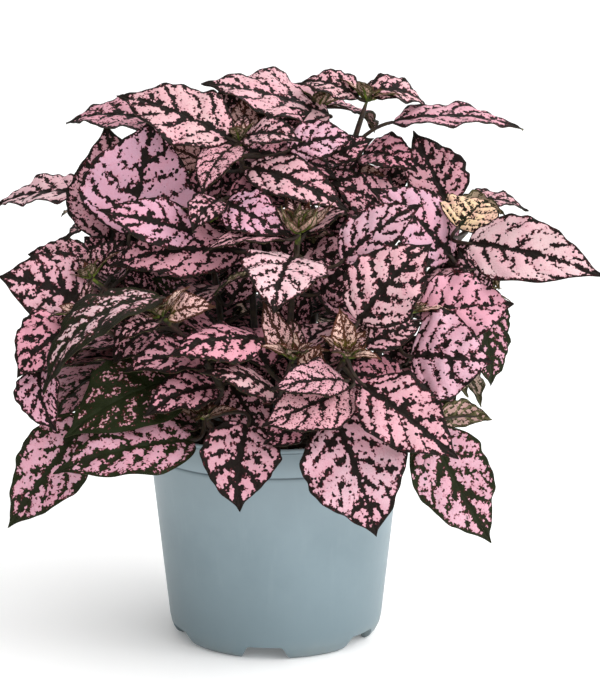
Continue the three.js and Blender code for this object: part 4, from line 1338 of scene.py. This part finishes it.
def leaf_finish():
    """Pink patches between jagged dark veins, with specks, a dark margin and a paler underside."""
    f = Finish("polka_dot_leaf")
    # What the blade keeps: where a point lies, and how this leaf looks. Each leaf has a layer of
    # its own in every pattern.
    u, v, side = f.kept("place")
    length, across, half = f.kept("reach")
    lilac, green, fine = f.kept("look")
    rose, cover, seed = f.kept("mood")
    layer = seed * 230.0

    def layered(ahead, beside, size, shift):
        """Places for one of the patterns."""
        return f.joined(ahead * size, beside * size, layer + shift)

    # Places on the blade, moved part of the way to the middles of small cells, so that the edges
    # of all marks are jagged.
    zoom = fine * 0.9 + 0.8
    out = abs(v)
    smooth_ahead = u * length * zoom
    smooth_across = across * zoom
    middles = f.cells(layered(smooth_ahead, smooth_across, 1.3, 0.0), 1.0, "Position")
    cell_ahead, cell_across = f.parts(middles, (0, 1))
    ahead = smooth_ahead * 0.35 + cell_ahead * (0.65 / 1.3)
    beside = smooth_across * 0.35 + cell_across * (0.65 / 1.3)
    lumps = f.noise(layered(ahead, beside, 0.2, 0.0), 1.0, 1.0)
    beads = f.noise(layered(ahead, beside, 0.48, 31.0), 1.0, 1.0)
    jags = f.noise(layered(ahead, beside, 0.78, 7.0), 1.0, 2.5, 0.7)

    # Dark bands with beaded sides along the midrib and the swept lateral veins
    lean = (out * 0.34 + 0.1) * length / half.most(3.0)
    swept = ahead - (out * 0.1 + v * v * 0.17) * length * zoom
    swept = swept - (abs(beside) - abs(smooth_across)) * lean
    lane = swept * (VEIN_PAIRS / (length * zoom)) + (v > 0.0) * 0.4 + (lumps - 0.5) * 0.9
    off = (0.5 - abs(lane % 1.0 - 0.5)) * length * (0.78 / VEIN_PAIRS)
    wide = (beads - 0.5) * 5.4 + (1.0 - out) * 0.8 - 1.12
    near_lateral = 1.0 - f.step(off * zoom - wide, -0.7, 2.6)
    near_rib = 1.0 - f.step(abs(beside) - 0.7 + u * 0.8 - (beads - 0.5) * 3.4, -0.6, 1.9)
    near_vein = near_lateral.most(near_rib)

    # Where it is pink: away from veins and edge, between specks, and off the thread of each vein
    edge = (1.0 - out) * half * zoom
    near_edge = (1.0 - f.step(edge, 0.3, 2.8)) * 0.2
    curled = lilac * -1.0
    sides = f.step(curled, 0.4, 0.6) * f.step(out, 0.3, 0.75) * 0.16
    threshold = near_vein * 0.42 + near_edge + 0.362 + cover * 0.13 + sides
    drawn = jags * 0.85 + lumps * 0.15 - threshold
    thread = f.step(off * zoom + (jags - 0.5) * 1.6, 0.12, 0.3)
    margin = f.step((1.0 - out) * half - 0.85 + (jags - 0.5) * 2.2, -0.1, 0.1)
    dots = layered(ahead, beside, 0.62, 90.0)
    speck = f.cells(dots, 1.0, "Distance")
    draw = f.red(f.cells(dots, 1.0, "Color"))
    specks = f.step(speck - (draw - 0.5) * 0.7 - near_edge * 0.9 + (jags - 0.5) * 0.7, -0.03, 0.03)
    pink = f.step(drawn, -0.012, 0.012).least(specks).least(margin).least(thread)

    # The pink of the patches, deeper in places, along a fine net and beside the marks
    patch = f.blend(lilac, rgb(214, 179, 180), rgb(208, 164, 185))
    patch = f.blend(curled, patch, rgb(212, 190, 192))
    patch = f.blend(rose * 0.9, patch, rgb(212, 142, 158))
    patch = f.blend(rose * -1.6, patch, rgb(234, 204, 208))
    cream = f.step(rose * -1.0, 0.46, 0.56)
    patch = f.blend(cream * 0.85, patch, rgb(240, 214, 160))
    shade = f.noise(layered(ahead, beside, 0.1, 19.0), 1.0, 2.0)
    patch = f.blend(f.step(shade, 0.35, 0.68) * 0.4, patch, rgb(217, 150, 167))
    net_places = layered(u * length, across, 0.8, 5.0)
    net = f.cells(net_places, 1.0, "Distance", "DISTANCE_TO_EDGE")
    patch = f.blend((1.0 - f.step(net, 0.0, 0.1)) * 0.2, patch, rgb(196, 112, 132))
    patch = f.blend((1.0 - f.step(drawn, 0.0, 0.12)) * 0.28, patch, rgb(212, 126, 140))

    # The dark marks, greener on green leaves, and the browner and greener young leaves
    greener = f.step(green + (lumps - 0.5) * 0.8, 0.15, 0.95)
    dark = f.blend(greener, rgb(24, 14, 13), rgb(30, 38, 14))
    # Painted sheen: greyish patches on the dark marks
    dark = f.blend(f.step(jags, 0.3, 0.6) * 0.2, dark, rgb(44, 44, 34))
    bud = f.step(fine, 1.0, 1.6)
    youth = f.step(fine, 1.0, 1.5) * f.step(0.32 - u, 0.0, 0.3)
    dark = f.blend(bud * 0.7, dark, rgb(104, 62, 44))
    dark = f.blend(youth * 0.7, dark, rgb(104, 108, 34))
    patch = f.blend(bud * 0.7, patch, rgb(242, 206, 186))
    patch = f.blend(youth * 0.55, patch, rgb(204, 172, 112))
    upper = f.blend(pink, dark, patch)
    fringe = (1.0 - f.step(abs(drawn + 0.01), 0.0, 0.05)) * 0.6
    upper = f.blend(fringe, upper, rgb(92, 26, 38))

    # The underside, on which the veins stand out pale
    pale = f.blend(green, rgb(210, 170, 164), rgb(232, 214, 178))
    pale = f.blend(bud * 0.6, pale, rgb(232, 186, 172))
    back = f.blend(pink * 0.9, rgb(62, 58, 36), pale)
    raised = 1.0 - f.step(off.least(abs(across)), 0.15, 0.7)
    back = f.blend(raised * 0.4, back, rgb(150, 144, 104))
    under = 1.0 - f.step(side, -0.4, -0.1)
    colour = f.blend(under, upper, back)

    # Grooves along the veins, a fine net and slightly raised patches
    groove = f.step(off.least(abs(across) * 0.8), 0.0, 0.9)
    fine_net = f.step(net, 0.0, 0.16) * 0.35
    height = groove + fine_net + pink * 0.16 + (jags - 0.5) * 0.3
    normal = f.bump(height, 0.34, 0.8)
    roughness = 0.5 + (jags - 0.5) * 0.2 + under * 0.15
    return f.done(colour, roughness, normal, 0.1)


def stem_finish():
    """Dark green-brown bark on the old stems, greener towards their tips, with fine ridges."""
    f = Finish("polka_dot_stem")
    age, across, up = f.kept("age")
    place = f.place()
    mottle = f.noise(place, 420.0, 3.0)
    ridges = f.noise(f.joined(across * 2.5, up * 2.5, age * 3.0), 2.0, 2.0)
    old = f.blend(f.step(mottle, 0.35, 0.65), rgb(36, 27, 24), rgb(56, 48, 34))
    fresh = f.blend(f.step(mottle, 0.4, 0.7), rgb(66, 84, 30), rgb(118, 136, 48))
    colour = f.blend(f.step(age + (mottle - 0.5) * 0.1, 0.93, 1.0), old, fresh)
    colour = f.blend(f.step(ridges, 0.5, 0.7) * 0.3, colour, rgb(104, 66, 66))
    normal = f.bump(ridges + mottle * 0.5, 0.25, 0.7)
    return f.done(colour, 0.5 + (mottle - 0.5) * 0.2, normal, 0.25)


def pot_finish():
    """Satin light blue-grey plastic, faintly clouded, with fine scuffs and a dusty foot, painted
    shade low down, painted light high up and a painted shadow in the rim groove.
    """
    f = Finish("blue_grey_plastic")
    place = f.place()
    x, y, z = f.parts(place)
    clouds = f.noise(place, 26.0, 4.0, 0.6)
    grain = f.noise(place, 2600.0, 2.0, 0.6)
    drawn = f.noise(f.joined(x * 260.0, y * 260.0, z * 22.0), 1.0, 3.0, 0.6)
    colour = f.blend(f.step(clouds, 0.3, 0.7), rgb(124, 143, 151), rgb(134, 153, 161))
    colour = f.blend(f.step(drawn, 0.52, 0.75) * 0.16, colour, rgb(150, 167, 174))
    # Painted shade: the wall darker towards the foot
    colour = f.blend((1.0 - f.step(z, 0.0, 0.075)) * 0.85, colour, rgb(106, 124, 131))
    # Painted light: the upper wall lighter below the rim band
    colour = f.blend(f.step(z, 0.05, 0.092) * 0.6, colour, rgb(148, 166, 174))
    # Painted shadow: a dark line in the groove under the rim band
    groove = 1.0 - f.step(abs(z - (POT_HEIGHT - RIM_BAND - 0.4) * MM), 0.0002, 0.0009)
    colour = f.blend(groove * 0.55, colour, rgb(70, 82, 88))
    dusty = (1.0 - f.step(z, 0.0, 0.012)) * f.step(clouds, 0.3, 0.7) * 0.3
    colour = f.blend(dusty, colour, rgb(150, 148, 138))
    scuffs = f.noise(f.joined(x * 900.0, y * 900.0, z * 90.0), 1.0, 2.0, 0.7)
    roughness = 0.42 + (clouds - 0.5) * 0.12 + f.step(scuffs, 0.6, 0.75) * 0.12
    height = grain * 0.5 + drawn * 0.5 + clouds * 2.0
    return f.done(colour, roughness, f.bump(height, 0.05, 0.6), 0.45)


def peat_finish():
    """Damp brown peat with lighter fibres and a few pale grains."""
    f = Finish("peat_mix")
    place = f.place()
    lumps = f.noise(place, 240.0, 5.0, 0.65)
    fibres = f.noise(place, 1100.0, 3.0, 0.7)
    pale = f.red(f.cells(place, 260.0, "Color"))
    colour = f.blend(f.step(lumps, 0.35, 0.65), rgb(26, 20, 16), rgb(62, 46, 34))
    colour = f.blend(f.step(fibres, 0.58, 0.7) * 0.5, colour, rgb(112, 84, 58))
    colour = f.blend(f.step(pale, 0.965, 0.975) * 0.8, colour, rgb(176, 170, 158))
    height = lumps + fibres * 0.4
    return f.done(colour, 0.86 + (lumps - 0.5) * 0.2, f.bump(height, 0.9, 0.9), 0.25)


def floor_finish():
    """White, faintly clouded and matt, with a little light of its own."""
    f = Finish("pale_floor")
    place = f.place()
    clouds = f.noise(place, 3.0, 2.0)
    colour = f.blend(clouds, rgb(249, 249, 249), rgb(252, 252, 252))
    glow = {"Emission Color": (1, 1, 1, 1), "Emission Strength": 0.12}
    return f.done(colour, 0.9, f.bump(clouds, 0.01, 0.1), 0.05, glow)


def softbox(name, place, aim, size, power):
    """A white rectangular lamp."""
    put_down()
    bpy.ops.object.light_add(type="AREA", location=place)
    lamp = bpy.context.object
    lamp.name = name
    lamp.data.shape = "RECTANGLE"
    lamp.data.size, lamp.data.size_y = size
    lamp.data.energy = power
    way = Vector(aim) - Vector(place)
    lamp.rotation_euler = way.to_track_quat("-Z", "Y").to_euler()


def studio():
    """A white floor and backdrop, a high soft light from the front right, and a fill."""
    put_down()
    bpy.ops.mesh.primitive_circle_add(vertices=64, radius=FLOOR_RADIUS, fill_type="NGON")
    floor = bpy.context.object
    floor.name = "floor"
    floor.data.materials.append(floor_finish())
    f = Finish("studio", "worlds")
    east, high = f.parts(f.place("Generated"), (0, 2))
    overhead = f.step(high, 0.0, 0.9) * 0.9 + 0.44
    light = overhead * (east * 0.8 + 1.0)
    light = f.node("ShaderNodeBackground", {}, {"Color": light, "Strength": 1.0})
    f.node("ShaderNodeOutputWorld", {}, {"Surface": light})
    bpy.context.scene.world = f.owner
    softbox("key", (1.2, -0.8, 1.1), (0, 0, 0.12), (1.3, 1.3), 15.5)
    softbox("front", (0.5, -1.7, 0.9), (0, 0, 0.12), (0.8, 0.8), 3)


def camera():
    """The photograph's viewpoint: 950 mm in front, 324 mm up and looking 11 degrees down."""
    put_down()
    bpy.ops.object.camera_add(
        location=EYE * MM, rotation=(math.pi / 2 - CAMERA_PITCH, 0, -CAMERA_YAW)
    )
    view = bpy.context.object
    view.data.sensor_width = SENSOR
    view.data.lens = FOCAL_LENGTH * SENSOR / FRAME_HEIGHT
    view.data.clip_start, view.data.clip_end = 0.05, 200
    bpy.context.scene.camera = view


camera()
studio()
nursery_pot()
peat()
leafy_stems()

bpy.context.scene.view_settings.view_transform = "Standard"
bpy.context.view_layer.update()
